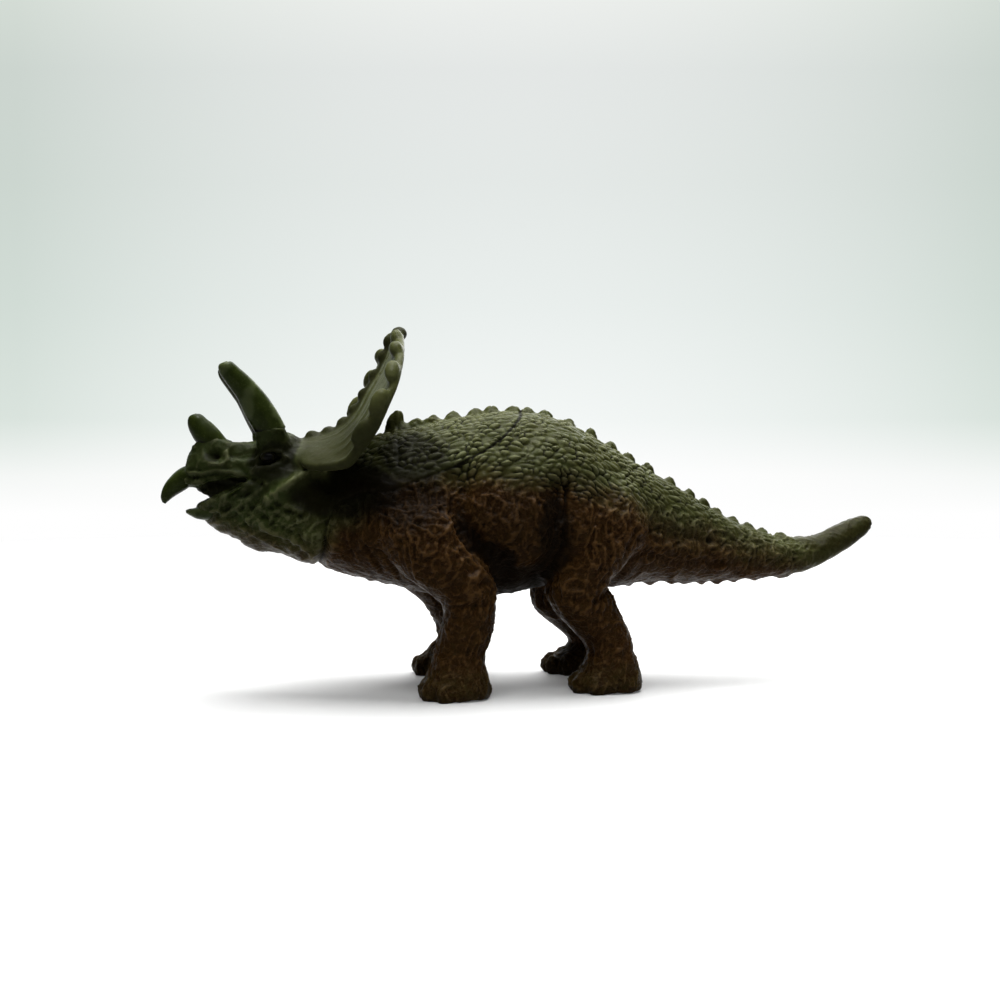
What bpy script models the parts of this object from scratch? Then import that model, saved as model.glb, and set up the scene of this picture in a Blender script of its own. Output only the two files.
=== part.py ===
"""A toy horned dinosaur with a neck frill, walking with its mouth open.

The figure stands on the XY plane with its head towards -X, its left side
towards -Y and +Z up. The origin is under the middle of its length. It comes
apart like a moulded toy of this kind: a torso with the tail, a head with the
nape, a frill, three horns, two beak pieces and four legs, each on a root or
peg that sits in a socket with a small glue gap.
"""
import math

import bmesh
import bpy
from mathutils import Matrix, Vector

# Glue gap round every root and peg, and how far cutters run past the figure
JOINT_GAP = 0.0003
SOCKET_CORNER_SHARE = 1.4
CUT_OVERRUN = 0.02

# Trunk, from the throat to the tip of the tail
TRUNK_LENGTH = 0.1199
BODY_DEPTH = 0.0374
BODY_WIDTH = 0.0412
BELLY_CLEARANCE = 0.0186
BACK_NARROWING_SHARE = 0.14

# Head, from the back of the cheeks to the front of the muzzle
HEAD_LENGTH = 0.0330
HEAD_DEPTH = 0.0273
HEAD_WIDTH = 0.0264
HEAD_PLACE_SHARE = 0.065
HEAD_LIFT_SHARE = 0.185
HEAD_NARROWING_SHARE = 0.22

# Beak pieces
UPPER_BEAK_LENGTH = 0.0062
UPPER_BEAK_WIDTH = 0.0062
UPPER_BEAK_DEPTH = 0.0046
BEAK_OVERHANG_SHARE = 0.84
LOWER_BEAK_LENGTH = 0.0115
LOWER_BEAK_WIDTH = 0.0150
LOWER_BEAK_DEPTH = 0.0036

# Horns
BROW_HORN_LENGTH = 0.0153
BROW_HORN_WIDTH = 0.0057
BROW_HORN_SPREAD = 0.0140
BROW_BOSS_RIM = 0.0004
NOSE_HORN_LENGTH = 0.0066
NOSE_HORN_WIDTH = 0.0060
HORN_PEG_LENGTH = 0.0026
HORN_PEG_SHARE = 0.6
HORN_SHOULDER_SHARE = 0.2
HORN_BASE_TILT = math.radians(9)
HORN_FLATTENING_SHARE = 0.94

# Frill
FRILL_REACH = 0.0229
FRILL_RISE = 0.0242
FRILL_WIDTH = 0.0442
FRILL_THICKNESS = 0.0026
FRILL_BEND_POWER = 1.7
FRILL_EDGE_SHARE = 0.55
RIM_LUMP_LENGTH = 0.0046
RIM_LUMP_WIDTH = 0.0030
RIM_LUMP_INSET_SHARE = 0.97
RIDGE_BUMP_LENGTH = 0.0034
RIDGE_BUMP_WIDTH = 0.0027
RIDGE_BUMP_HEIGHT = 0.0024
RIDGE_RISE = 0.0010

# Scutes along the back and the tail
SCUTE_LENGTH = 0.0034
SCUTE_WIDTH = 0.0023
SCUTE_HEIGHT = 0.0013
NAPE_SCUTE_HEIGHT = 0.0046
SCUTE_SHRINK_SHARE = 0.33

# Legs
FORE_LEG_DEPTH = 0.0158
FORE_LEG_THICKNESS = 0.0144
FORE_LEG_REACH = 0.0120
FORE_STANCE = 0.0334
HIND_LEG_DEPTH = 0.0174
HIND_LEG_THICKNESS = 0.0150
HIND_LEG_REACH = 0.0100
HIND_STANCE = 0.0262
TOE_LENGTH = 0.0046
TOE_WIDTH = 0.0036
TOE_HEIGHT = 0.0052
TOE_SETBACK_SHARE = 0.86
TOE_LIFT_SHARE = 0.32
TOE_ANGLES = tuple(math.radians(angle) for angle in (-57, -19, 19, 57))

# Face
EYE_DIAMETER = 0.0032
EYE_INSET = 0.0011
EYE_SOCKET_LENGTH = 0.0046
EYE_SOCKET_HEIGHT = 0.0037
NOSTRIL_LENGTH = 0.0028
NOSTRIL_HEIGHT = 0.0020
TONGUE_WIDTH = 0.0056

# Neck plug that carries the head on the torso
PLUG_DIAMETER = 0.0100
PLUG_DEPTH = 0.0070

# Facets, rings between two sections, squareness of sections, shading angle
TRUNK_POINTS = 24
LEG_POINTS = 16
HORN_POINTS = 12
FRILL_POINTS = 11
BALL_SEGMENTS = 8
BALL_RINGS = 5
RING_STEPS = 2
SQUARE_POWER = 0.88
ROUND_POWER = 1.0
SHARP_ANGLE = math.radians(50)

# Trunk sections: place along the trunk, top and bottom above the belly line
# as shares of the body's depth, and width as a share of the body's width
TRUNK_SHARES = (
    (0.000, 0.700, 0.200, 0.61),
    (0.030, 0.770, 0.155, 0.68),
    (0.060, 0.820, 0.122, 0.74),
    (0.100, 0.866, 0.097, 0.81),
    (0.142, 0.900, 0.061, 0.87),
    (0.185, 0.930, 0.024, 0.91),
    (0.230, 0.960, 0.004, 0.95),
    (0.275, 0.985, 0.000, 0.98),
    (0.318, 1.000, 0.004, 1.00),
    (0.360, 0.997, 0.022, 1.00),
    (0.402, 0.975, 0.050, 0.97),
    (0.445, 0.925, 0.050, 0.90),
    (0.487, 0.850, 0.035, 0.80),
    (0.530, 0.770, 0.040, 0.70),
    (0.572, 0.692, 0.058, 0.60),
    (0.614, 0.618, 0.062, 0.52),
    (0.655, 0.542, 0.058, 0.45),
    (0.698, 0.455, 0.058, 0.40),
    (0.740, 0.390, 0.060, 0.35),
    (0.782, 0.335, 0.064, 0.31),
    (0.824, 0.296, 0.078, 0.26),
    (0.867, 0.290, 0.098, 0.22),
    (0.910, 0.325, 0.150, 0.18),
    (0.953, 0.385, 0.230, 0.15),
    (0.984, 0.415, 0.300, 0.11),
    (1.000, 0.395, 0.355, 0.04),
)

# Head sections, forward from the neck: place along the head, top and bottom
# as shares of the head's depth, and width as a share of the head's width
HEAD_SHARES = (
    (0.000, 0.806, 0.085, 0.98),
    (0.116, 0.830, 0.040, 1.00),
    (0.200, 0.850, 0.014, 0.97),
    (0.290, 0.890, 0.010, 0.93),
    (0.363, 0.960, 0.042, 0.89),
    (0.436, 0.970, 0.081, 0.84),
    (0.523, 0.930, 0.095, 0.76),
    (0.610, 0.890, 0.127, 0.66),
    (0.698, 0.880, 0.190, 0.57),
    (0.785, 0.922, 0.239, 0.49),
    (0.860, 0.925, 0.313, 0.41),
    (0.925, 0.880, 0.440, 0.33),
    (0.965, 0.820, 0.530, 0.27),
    (0.995, 0.745, 0.570, 0.20),
)

# Seam between head and torso, from the top of the back to the throat: place
# along the trunk and height above the belly line
SEAM_SHARES = (
    (0.359, 1.107),
    (0.355, 1.010),
    (0.327, 0.925),
    (0.304, 0.864),
    (0.279, 0.810),
    (0.258, 0.773),
    (0.219, 0.717),
    (0.176, 0.660),
    (0.113, 0.583),
    (0.067, 0.578),
    (0.033, 0.527),
    (0.012, 0.412),
    (0.008, 0.233),
    (0.007, 0.010),
)

# Mouth opening, as shares of the head's length and depth: from the front
# along the palate to the corner, and back along the lower jaw
MOUTH_SHARES = (
    (1.176, 0.557),
    (0.942, 0.568),
    (0.873, 0.626),
    (0.691, 0.656),
    (0.630, 0.637),
    (0.630, 0.604),
    (0.767, 0.518),
    (0.900, 0.436),
    (1.176, 0.381),
)

# Frill sections, from the tongue in the skull to the top edge: the middle's
# place and height, the side edge's place and height, width and thickness
FRILL_SHARES = (
    (-0.135, -0.037, -0.127, -0.083, 0.20, 0.70),
    (0.005, -0.005, -0.048, -0.186, 0.52, 0.90),
    (0.160, 0.020, 0.127, -0.200, 0.70, 1.00),
    (0.312, 0.085, 0.297, -0.170, 0.85, 1.00),
    (0.452, 0.198, 0.412, -0.025, 0.94, 1.00),
    (0.535, 0.322, 0.510, 0.116, 0.99, 1.00),
    (0.602, 0.442, 0.593, 0.290, 1.00, 1.00),
    (0.702, 0.600, 0.680, 0.475, 0.94, 1.00),
    (0.772, 0.765, 0.750, 0.680, 0.72, 0.95),
    (0.812, 0.870, 0.785, 0.820, 0.44, 0.80),
    (0.828, 0.920, 0.805, 0.895, 0.20, 0.60),
)

# Leg sections, from the root in the torso to the sole: forward swing, height,
# depth, thickness and distance from the midline as shares, and tilt in degrees
FORE_LEFT_SHARES = (
    (0.000, 1.000, 0.70, 0.52, 0.66, 10),
    (0.000, 0.944, 0.91, 0.80, 0.80, 15),
    (0.067, 0.867, 1.00, 1.00, 0.87, 25),
    (0.233, 0.770, 0.91, 1.00, 0.91, 35),
    (0.500, 0.671, 0.79, 0.92, 0.95, 38),
    (0.825, 0.584, 0.76, 0.83, 0.97, 28),
    (0.950, 0.490, 0.67, 0.75, 0.98, 8),
    (0.945, 0.393, 0.62, 0.70, 0.99, -6),
    (0.860, 0.296, 0.61, 0.68, 0.99, -10),
    (0.785, 0.204, 0.63, 0.68, 0.99, -8),
    (0.775, 0.122, 0.75, 0.77, 1.00, -3),
    (0.750, 0.056, 0.84, 0.85, 1.00, 0),
    (0.750, 0.000, 0.80, 0.80, 1.00, 0),
)
FORE_RIGHT_SHARES = (
    (0.000, 1.000, 0.70, 0.52, 0.66, 10),
    (0.000, 0.944, 0.91, 0.80, 0.80, 14),
    (0.067, 0.867, 1.00, 1.00, 0.87, 20),
    (0.240, 0.770, 0.93, 1.00, 0.91, 28),
    (0.467, 0.658, 0.84, 0.92, 0.95, 32),
    (0.725, 0.556, 0.77, 0.83, 0.97, 32),
    (1.000, 0.459, 0.71, 0.75, 0.98, 26),
    (1.158, 0.362, 0.66, 0.70, 0.99, 18),
    (1.258, 0.270, 0.62, 0.67, 0.99, 8),
    (1.275, 0.189, 0.62, 0.68, 0.99, -2),
    (1.183, 0.117, 0.75, 0.75, 1.00, -8),
    (1.050, 0.056, 0.86, 0.85, 1.00, 0),
    (1.050, 0.000, 0.81, 0.80, 1.00, 0),
)
HIND_LEFT_SHARES = (
    (0.00, 1.000, 0.63, 0.53, 0.73, 0),
    (0.07, 0.903, 0.90, 0.83, 0.84, 0),
    (0.10, 0.791, 1.00, 0.98, 0.90, 0),
    (0.05, 0.677, 0.95, 1.00, 0.94, 0),
    (-0.21, 0.573, 0.84, 0.93, 0.97, 6),
    (-0.46, 0.482, 0.74, 0.85, 0.99, 14),
    (-0.32, 0.397, 0.65, 0.76, 1.00, 22),
    (-0.11, 0.321, 0.58, 0.70, 1.00, 20),
    (0.11, 0.248, 0.55, 0.66, 1.00, 9),
    (0.21, 0.174, 0.54, 0.66, 1.00, 0),
    (0.20, 0.110, 0.67, 0.72, 1.00, 0),
    (0.16, 0.050, 0.82, 0.80, 1.00, 0),
    (0.16, 0.000, 0.77, 0.76, 1.00, 0),
)
HIND_RIGHT_SHARES = (
    (0.00, 1.000, 0.63, 0.53, 0.73, 0),
    (0.07, 0.903, 0.90, 0.83, 0.84, 0),
    (0.10, 0.791, 1.00, 0.98, 0.90, 0),
    (0.07, 0.677, 0.95, 1.00, 0.94, 2),
    (-0.07, 0.565, 0.84, 0.93, 0.97, 6),
    (-0.23, 0.463, 0.74, 0.85, 0.99, 14),
    (-0.20, 0.385, 0.73, 0.78, 1.00, 24),
    (0.08, 0.298, 0.58, 0.69, 1.00, 30),
    (0.40, 0.225, 0.57, 0.66, 1.00, 22),
    (0.50, 0.160, 0.57, 0.66, 1.00, 6),
    (0.40, 0.100, 0.71, 0.72, 1.00, -5),
    (0.22, 0.050, 0.83, 0.80, 1.00, 0),
    (0.22, 0.000, 0.78, 0.76, 1.00, 0),
)

# Horn sections from base to tip: forward lean and height as shares of the
# length, sideways lean as a share of the length, and thickness
BROW_HORN_SHARES = (
    (0.000, 0.000, 0.00, 1.00),
    (0.095, 0.175, 0.02, 1.00),
    (0.190, 0.330, 0.03, 0.94),
    (0.290, 0.457, 0.05, 0.81),
    (0.415, 0.614, 0.08, 0.66),
    (0.523, 0.745, 0.10, 0.53),
    (0.560, 0.800, 0.11, 0.38),
    (0.575, 0.830, 0.11, 0.18),
)
NOSE_HORN_SHARES = (
    (0.000, 0.000, 0.00, 1.00),
    (0.140, 0.180, 0.00, 0.96),
    (0.270, 0.350, 0.00, 0.86),
    (0.400, 0.520, 0.00, 0.73),
    (0.500, 0.700, 0.00, 0.58),
    (0.550, 0.800, 0.00, 0.42),
    (0.570, 0.850, 0.00, 0.20),
)

# Beak sections, forward from the root: place along and height as shares of
# the length, width and depth as shares, and tilt in degrees
UPPER_BEAK_SHARES = (
    (-0.45, 0.10, 0.60, 0.60, 90),
    (0.00, 0.00, 0.96, 0.94, 97),
    (0.31, -0.21, 0.86, 0.83, 122),
    (0.58, -0.48, 0.62, 0.63, 134),
    (0.72, -0.72, 0.38, 0.39, 145),
    (0.74, -0.86, 0.15, 0.15, 150),
)
LOWER_BEAK_SHARES = (
    (0.00, 0.00, 1.00, 0.12, 117),
    (0.16, -0.10, 1.06, 0.32, 117),
    (0.33, -0.23, 0.98, 0.55, 116),
    (0.49, -0.36, 0.86, 0.80, 112),
    (0.63, -0.48, 0.68, 1.00, 107),
    (0.82, -0.51, 0.42, 0.67, 100),
    (0.94, -0.49, 0.22, 0.36, 96),
    (1.00, -0.48, 0.10, 0.14, 95),
)

# Places on the figure, as shares of the trunk's or the head's sizes
SHOULDER_PLACE_SHARE = 0.146
SHOULDER_HEIGHT_SHARE = 0.550
HIP_PLACE_SHARE = 0.469
HIP_HEIGHT_SHARE = 0.668
PLUG_PLACE_SHARE = 0.100
PLUG_HEIGHT_SHARE = 0.583
UPPER_BEAK_PLACE_SHARES = (0.985, 0.645)
LOWER_BEAK_PLACE_SHARES = (0.645, 0.590)
BROW_HORN_PLACE_SHARES = (0.506, 0.985)
BROW_BOSS_ROOT_SHARES = (0.455, 0.800)
BROW_BOSS_SPREAD_SHARE = 0.60
NOSE_HORN_PLACE_SHARES = (0.835, 0.890)
FRILL_PLACE_SHARES = (0.280, 0.880)
EYE_PLACE_SHARES = (0.515, 0.787, 0.76)
NOSTRIL_PLACE_SHARES = (0.807, 0.795, 0.40)
TONGUE_PLACE_SHARES = (0.88, 0.50, 0.50)
RIM_LUMP_SHARES = (0.46, 0.57, 0.67, 0.765, 0.84, 0.91)
RIDGE_BUMP_SHARES = (0.14, 0.24, 0.34, 0.44, 0.55, 0.66, 0.76, 0.86)
NAPE_SCUTE_PLACE_SHARE = 0.137
SCUTE_PLACE_SHARES = (
    0.150, 0.176, 0.205, 0.240, 0.278, 0.307, 0.344, 0.369, 0.398, 0.439, 0.478,
    0.514, 0.546, 0.580, 0.621, 0.657, 0.684, 0.708, 0.738, 0.766, 0.794, 0.830,
)

# Colours as linear values, with roughness
SKIN_GREEN = ((0.075, 0.095, 0.035, 1.0), 0.5)
SKIN_BROWN = ((0.055, 0.034, 0.012, 1.0), 0.5)
SKIN_OLIVE = ((0.070, 0.062, 0.024, 1.0), 0.5)
HORN_GREEN = ((0.080, 0.100, 0.030, 1.0), 0.32)


def clear_scene():
    """Remove every object that the scene holds."""
    for item in list(bpy.data.objects):
        bpy.data.objects.remove(item, do_unlink=True)


def trunk_point(place_share, height_share):
    """A point on the midline, from the throat back and up from the belly line."""
    beak_tip = UPPER_BEAK_PLACE_SHARES[0] * HEAD_LENGTH + BEAK_OVERHANG_SHARE * UPPER_BEAK_LENGTH
    ahead = beak_tip - HEAD_PLACE_SHARE * TRUNK_LENGTH
    start = (ahead - TRUNK_LENGTH) / 2
    return Vector((start + place_share * TRUNK_LENGTH, 0, BELLY_CLEARANCE + height_share * BODY_DEPTH))


def head_point(place_share, height_share):
    """A point on the midline, from the back of the cheeks forward."""
    base = trunk_point(HEAD_PLACE_SHARE, HEAD_LIFT_SHARE)
    return base + Vector((-place_share * HEAD_LENGTH, 0, height_share * HEAD_DEPTH))


def smooth_rows(rows, steps=RING_STEPS):
    """Rows of numbers on a smooth curve through the given rows."""
    result = []
    last = len(rows) - 1
    for index in range(last):
        group = (rows[max(index - 1, 0)], rows[index], rows[index + 1], rows[min(index + 2, last)])
        for step in range(steps):
            t = step / steps
            row = []
            for a, b, c, d in zip(*group):
                slope = (c - a) / 2
                bend = a - 2.5 * b + 2 * c - d / 2
                twist = (d - a) / 2 + 1.5 * (b - c)
                row.append(b + slope * t + bend * t * t + twist * t * t * t)
            result.append(row)
    result.append(list(rows[-1]))
    return result


def section(center, tilt, half_long, half_wide, points, narrowing_share=0, power=SQUARE_POWER):
    """One closed ring, its long side in the XZ plane at the given tilt."""
    ring = []
    for index in range(points):
        angle = 2 * math.pi * index / points
        long_share = math.copysign(abs(math.cos(angle)) ** power, math.cos(angle))
        wide_share = math.copysign(abs(math.sin(angle)) ** power, math.sin(angle))
        along = half_long * long_share
        across = half_wide * wide_share * (1 - narrowing_share * long_share)
        ring.append(center + Vector((along * math.cos(tilt), across, along * math.sin(tilt))))
    return ring


def finish_mesh(name, mesh):
    """Turn a bmesh into a linked object with its faces pointing out."""
    bmesh.ops.recalc_face_normals(mesh, faces=mesh.faces)
    data = bpy.data.meshes.new(name)
    mesh.to_mesh(data)
    mesh.free()
    item = bpy.data.objects.new(name, data)
    bpy.context.scene.collection.objects.link(item)
    return item


def loft(name, rings):
    """A closed skin over a row of rings, with both ends filled."""
    mesh = bmesh.new()
    loops = []
    for ring in rings:
        verts = [mesh.verts.new(point) for point in ring]
        loops.append([mesh.edges.new((verts[index - 1], verts[index])) for index in range(len(verts))])
    for first, second in zip(loops, loops[1:]):
        bmesh.ops.bridge_loops(mesh, edges=first + second)
    bmesh.ops.holes_fill(mesh, edges=loops[0] + loops[-1], sides=0)
    return finish_mesh(name, mesh)


def prism(name, outline, half_width):
    """An outline in the XZ plane, extruded to both sides of the midline."""
    mesh = bmesh.new()
    side = Vector((0, half_width, 0))
    face = mesh.faces.new([mesh.verts.new(point - side) for point in outline])
    grown = bmesh.ops.extrude_face_region(mesh, geom=[face])["geom"]
    verts = [item for item in grown if isinstance(item, bmesh.types.BMVert)]
    bmesh.ops.translate(mesh, verts=verts, vec=2 * side)
    return finish_mesh(name, mesh)


def balls(name, places):
    """A group of ellipsoids; each place is a center, lengths along its axes and a turn."""
    mesh = bmesh.new()
    for center, sizes, turn in places:
        place = Matrix.Translation(center) @ turn @ Matrix.Diagonal((*(Vector(sizes) / 2), 1))
        bmesh.ops.create_uvsphere(
            mesh, u_segments=BALL_SEGMENTS, v_segments=BALL_RINGS, radius=1, matrix=place
        )
    return finish_mesh(name, mesh)


def bake(item):
    """Replace an object's mesh by what its modifiers make of it."""
    depsgraph = bpy.context.evaluated_depsgraph_get()
    data = bpy.data.meshes.new_from_object(item.evaluated_get(depsgraph))
    item.modifiers.clear()
    item.data = data


def combine(target, tool, operation):
    """Join or cut the target with the tool, which is then removed."""
    modifier = target.modifiers.new(operation.title(), "BOOLEAN")
    modifier.operation = operation
    modifier.solver = "EXACT"
    modifier.object = tool
    bake(target)
    bpy.data.objects.remove(tool, do_unlink=True)


def copy_of(item, name):
    """A separate copy of an object."""
    twin = bpy.data.objects.new(name, item.data.copy())
    bpy.context.scene.collection.objects.link(twin)
    return twin


def socket_for(item):
    """A copy of a root form, grown by the glue gap, to cut its socket with."""
    cutter = copy_of(item, item.name + "_socket")
    mesh = bmesh.new()
    mesh.from_mesh(cutter.data)
    mesh.normal_update()
    for vert, normal in [(vert, vert.normal.copy()) for vert in mesh.verts]:
        vert.co += normal * JOINT_GAP * SOCKET_CORNER_SHARE
    mesh.to_mesh(cutter.data)
    mesh.free()
    return cutter


def keep_largest(item):
    """Delete loose crumbs that a cut leaves beside the main body."""
    mesh = bmesh.new()
    mesh.from_mesh(item.data)
    left = set(mesh.verts)
    islands = []
    while left:
        island = [left.pop()]
        for vert in island:
            for edge in vert.link_edges:
                other = edge.other_vert(vert)
                if other in left:
                    left.remove(other)
                    island.append(other)
        islands.append(island)
    islands.sort(key=len)
    for island in islands[:-1]:
        bmesh.ops.delete(mesh, geom=island, context="VERTS")
    mesh.to_mesh(item.data)
    mesh.free()


def trunk_form():
    """Neck, body and tail as one loft."""
    rings = []
    for place, top, bottom, width in smooth_rows(TRUNK_SHARES):
        center = trunk_point(place, (top + bottom) / 2)
        half_high = (top - bottom) / 2 * BODY_DEPTH
        half_wide = width * BODY_WIDTH / 2
        ring = section(center, math.pi / 2, half_high, half_wide, TRUNK_POINTS, BACK_NARROWING_SHARE)
        rings.append(ring)
    return loft("trunk_form", rings)


def head_form():
    """Skull, cheeks, muzzle and jaw as one loft."""
    rings = []
    for place, top, bottom, width in smooth_rows(HEAD_SHARES):
        center = head_point(place, (top + bottom) / 2)
        half_high = (top - bottom) / 2 * HEAD_DEPTH
        half_wide = width * HEAD_WIDTH / 2
        ring = section(center, math.pi / 2, half_high, half_wide, TRUNK_POINTS, HEAD_NARROWING_SHARE)
        rings.append(ring)
    return loft("head_form", rings)


def back_height_share(place):
    """Height of the back at a place along the trunk."""
    for near, far in zip(TRUNK_SHARES, TRUNK_SHARES[1:]):
        if near[0] <= place <= far[0]:
            part = (place - near[0]) / (far[0] - near[0])
            return near[1] + part * (far[1] - near[1])
    return TRUNK_SHARES[-1][1]


def scute_places():
    """The row of scutes along the back, smaller towards the tail."""
    nape = trunk_point(NAPE_SCUTE_PLACE_SHARE, back_height_share(NAPE_SCUTE_PLACE_SHARE))
    nape_sizes = (SCUTE_LENGTH, SCUTE_WIDTH, 2 * NAPE_SCUTE_HEIGHT)
    places = [(nape, nape_sizes, Matrix.Identity(4))]
    last = len(SCUTE_PLACE_SHARES) - 1
    for index, place in enumerate(SCUTE_PLACE_SHARES):
        center = trunk_point(place, back_height_share(place))
        shrink = 1 - SCUTE_SHRINK_SHARE * index / last
        sizes = (SCUTE_LENGTH * shrink, SCUTE_WIDTH * shrink, 2 * SCUTE_HEIGHT * shrink)
        places.append((center, sizes, Matrix.Identity(4)))
    return places


def front_region(shift):
    """Everything in front of the seam, as a wide block."""
    outline = [trunk_point(*row) + shift for row in SEAM_SHARES]
    beyond_x = trunk_point(0, 0).x - HEAD_LENGTH - CUT_OVERRUN
    bottom_z = outline[-1].z - CUT_OVERRUN
    top_z = outline[0].z + CUT_OVERRUN
    outline[-1].z = bottom_z
    outline.append(Vector((beyond_x, 0, bottom_z)))
    outline.append(Vector((beyond_x, 0, top_z)))
    outline.append(Vector((outline[0].x, 0, top_z)))
    return prism("front_region", outline, BODY_WIDTH)


def neck_plug(grow):
    """The upright plug under the nape, half in the head and half in the chest."""
    mesh = bmesh.new()
    place = Matrix.Translation(trunk_point(PLUG_PLACE_SHARE, PLUG_HEIGHT_SHARE))
    radius = PLUG_DIAMETER / 2 + grow
    length = 2 * (PLUG_DEPTH + grow)
    bmesh.ops.create_cone(
        mesh, cap_ends=True, segments=LEG_POINTS, radius1=radius, radius2=radius, depth=length, matrix=place
    )
    return finish_mesh("neck_plug", mesh)


def mouth_cutter():
    """The gape between the beaks, round a tongue that fills its middle."""
    outline = [head_point(*row) for row in MOUTH_SHARES]
    gape = prism("gape", outline, HEAD_WIDTH)
    mesh = bmesh.new()
    front_share, back_share, height_share = TONGUE_PLACE_SHARES
    front = head_point(front_share, height_share)
    back = head_point(back_share, height_share)
    size = (back.x - front.x, TONGUE_WIDTH, HEAD_DEPTH / 2)
    place = Matrix.Translation((front + back) / 2) @ Matrix.Diagonal((*size, 1))
    bmesh.ops.create_cube(mesh, size=1, matrix=place)
    combine(gape, finish_mesh("tongue", mesh), "DIFFERENCE")
    return gape


def face_point(shares, side):
    """A point on one side of the face: place, height and width shares."""
    place, height, width = shares
    return head_point(place, height) + Vector((0, side * width * HEAD_WIDTH / 2, 0))


def cut_face(head):
    """Cut the nostrils and the eye sockets, and set the eyeballs in them."""
    still = Matrix.Identity(4)
    nostrils = []
    sockets = []
    eyes = []
    for side in (-1, 1):
        nostril = face_point(NOSTRIL_PLACE_SHARES, side)
        nostrils.append((nostril, (NOSTRIL_LENGTH, NOSTRIL_HEIGHT, NOSTRIL_HEIGHT), still))
        eye = face_point(EYE_PLACE_SHARES, side)
        sockets.append((eye, (EYE_SOCKET_LENGTH, EYE_SOCKET_HEIGHT, EYE_SOCKET_HEIGHT), still))
        inward = Vector((0, -side * EYE_INSET, 0))
        eyes.append((eye + inward, (EYE_DIAMETER, EYE_DIAMETER, EYE_DIAMETER), still))
    combine(head, balls("nostrils", nostrils), "DIFFERENCE")
    combine(head, balls("eye_sockets", sockets), "DIFFERENCE")
    combine(head, balls("eyes", eyes), "UNION")


def horn(name, base, rows, length, width, side):
    """A curved, tapered horn on a peg, leaning forward from its base."""
    radius = width / 2
    peg_radius = radius * HORN_PEG_SHARE
    down = Vector((math.sin(HORN_BASE_TILT), 0, -math.cos(HORN_BASE_TILT))) * HORN_PEG_LENGTH
    rings = []
    for center in (base + down, base + down * HORN_SHOULDER_SHARE):
        rings.append(section(center, HORN_BASE_TILT, peg_radius, peg_radius, HORN_POINTS, 0, ROUND_POWER))
    places = smooth_rows(rows)
    last = len(places) - 1
    for index, (forward, height, outward, thickness) in enumerate(places):
        center = base + Vector((-forward, side * outward, height)) * length
        ahead = places[min(index + 1, last)]
        behind = places[max(index - 1, 0)]
        lean = math.atan2(ahead[0] - behind[0], ahead[1] - behind[1])
        tilt = HORN_BASE_TILT + (lean - HORN_BASE_TILT) * height / places[last][1]
        half_deep = thickness * radius
        half_wide = half_deep * HORN_FLATTENING_SHARE
        rings.append(section(center, tilt, half_deep, half_wide, HORN_POINTS, 0, ROUND_POWER))
    return loft(name, rings)


def brow_horn_base(side):
    """Middle of a brow horn's base."""
    return head_point(*BROW_HORN_PLACE_SHARES) + Vector((0, side * BROW_HORN_SPREAD / 2, 0))


def brow_boss(side):
    """The collar of skin that a brow horn stands on."""
    half_spread = side * BROW_HORN_SPREAD / 2 * BROW_BOSS_SPREAD_SHARE
    root = head_point(*BROW_BOSS_ROOT_SHARES) + Vector((0, half_spread, 0))
    radius = BROW_HORN_WIDTH / 2 + BROW_BOSS_RIM
    rings = []
    for center in (root, brow_horn_base(side)):
        rings.append(section(center, HORN_BASE_TILT, radius, radius, HORN_POINTS, 0, ROUND_POWER))
    return loft("brow_boss", rings)


def beak(name, root, rows, length, width, depth):
    """A beak piece lofted forward from its root, each section at its own tilt."""
    rings = []
    for place, height, width_share, depth_share, tilt in smooth_rows(rows):
        center = root + Vector((-place, 0, height)) * length
        half_deep = depth_share * depth / 2
        half_wide = width_share * width / 2
        rings.append(section(center, math.radians(tilt), half_deep, half_wide, HORN_POINTS))
    return loft(name, rings)


def frill_grid(row, share):
    """A point of the frill's middle surface on one section, share 0 at the midline."""
    mid_place, mid_height, side_place, side_height, width, _ = row
    bend = abs(share) ** FRILL_BEND_POWER
    place = mid_place + (side_place - mid_place) * bend
    height = mid_height + (side_height - mid_height) * bend
    root = head_point(*FRILL_PLACE_SHARES)
    return root + Vector((place * FRILL_REACH, share * width * FRILL_WIDTH / 2, height * FRILL_RISE))


def frill_frame(rows, index, share):
    """A point on the frill with its forward normal and its upward direction."""
    ahead = rows[min(index + 1, len(rows) - 1)]
    behind = rows[max(index - 1, 0)]
    step = 1 / FRILL_POINTS
    upward = (frill_grid(ahead, share) - frill_grid(behind, share)).normalized()
    sideways = frill_grid(rows[index], share + step) - frill_grid(rows[index], share - step)
    return frill_grid(rows[index], share), upward.cross(sideways).normalized(), upward


def frill_plate(rows):
    """The frill's curved plate, lofted from its root up."""
    shares = [2 * step / (FRILL_POINTS - 1) - 1 for step in range(FRILL_POINTS)]
    rings = []
    for index, row in enumerate(rows):
        front = []
        back = []
        for share in shares:
            point, normal, _ = frill_frame(rows, index, share)
            thinning = 1 - (1 - FRILL_EDGE_SHARE) * share ** 4
            half = row[-1] * FRILL_THICKNESS / 2 * thinning
            front.append(point + normal * half)
            back.append(point - normal * half)
        rings.append(front + back[::-1])
    return loft("frill", rings)


def frill_place(rows, height_share, share, rise, sizes):
    """Center, sizes and turn of a lump whose length runs up the frill."""
    index = round(height_share * (len(rows) - 1))
    point, normal, upward = frill_frame(rows, index, share)
    turn = Vector((0, 0, 1)).rotation_difference(upward).to_matrix().to_4x4()
    return point + normal * rise, sizes, turn


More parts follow.
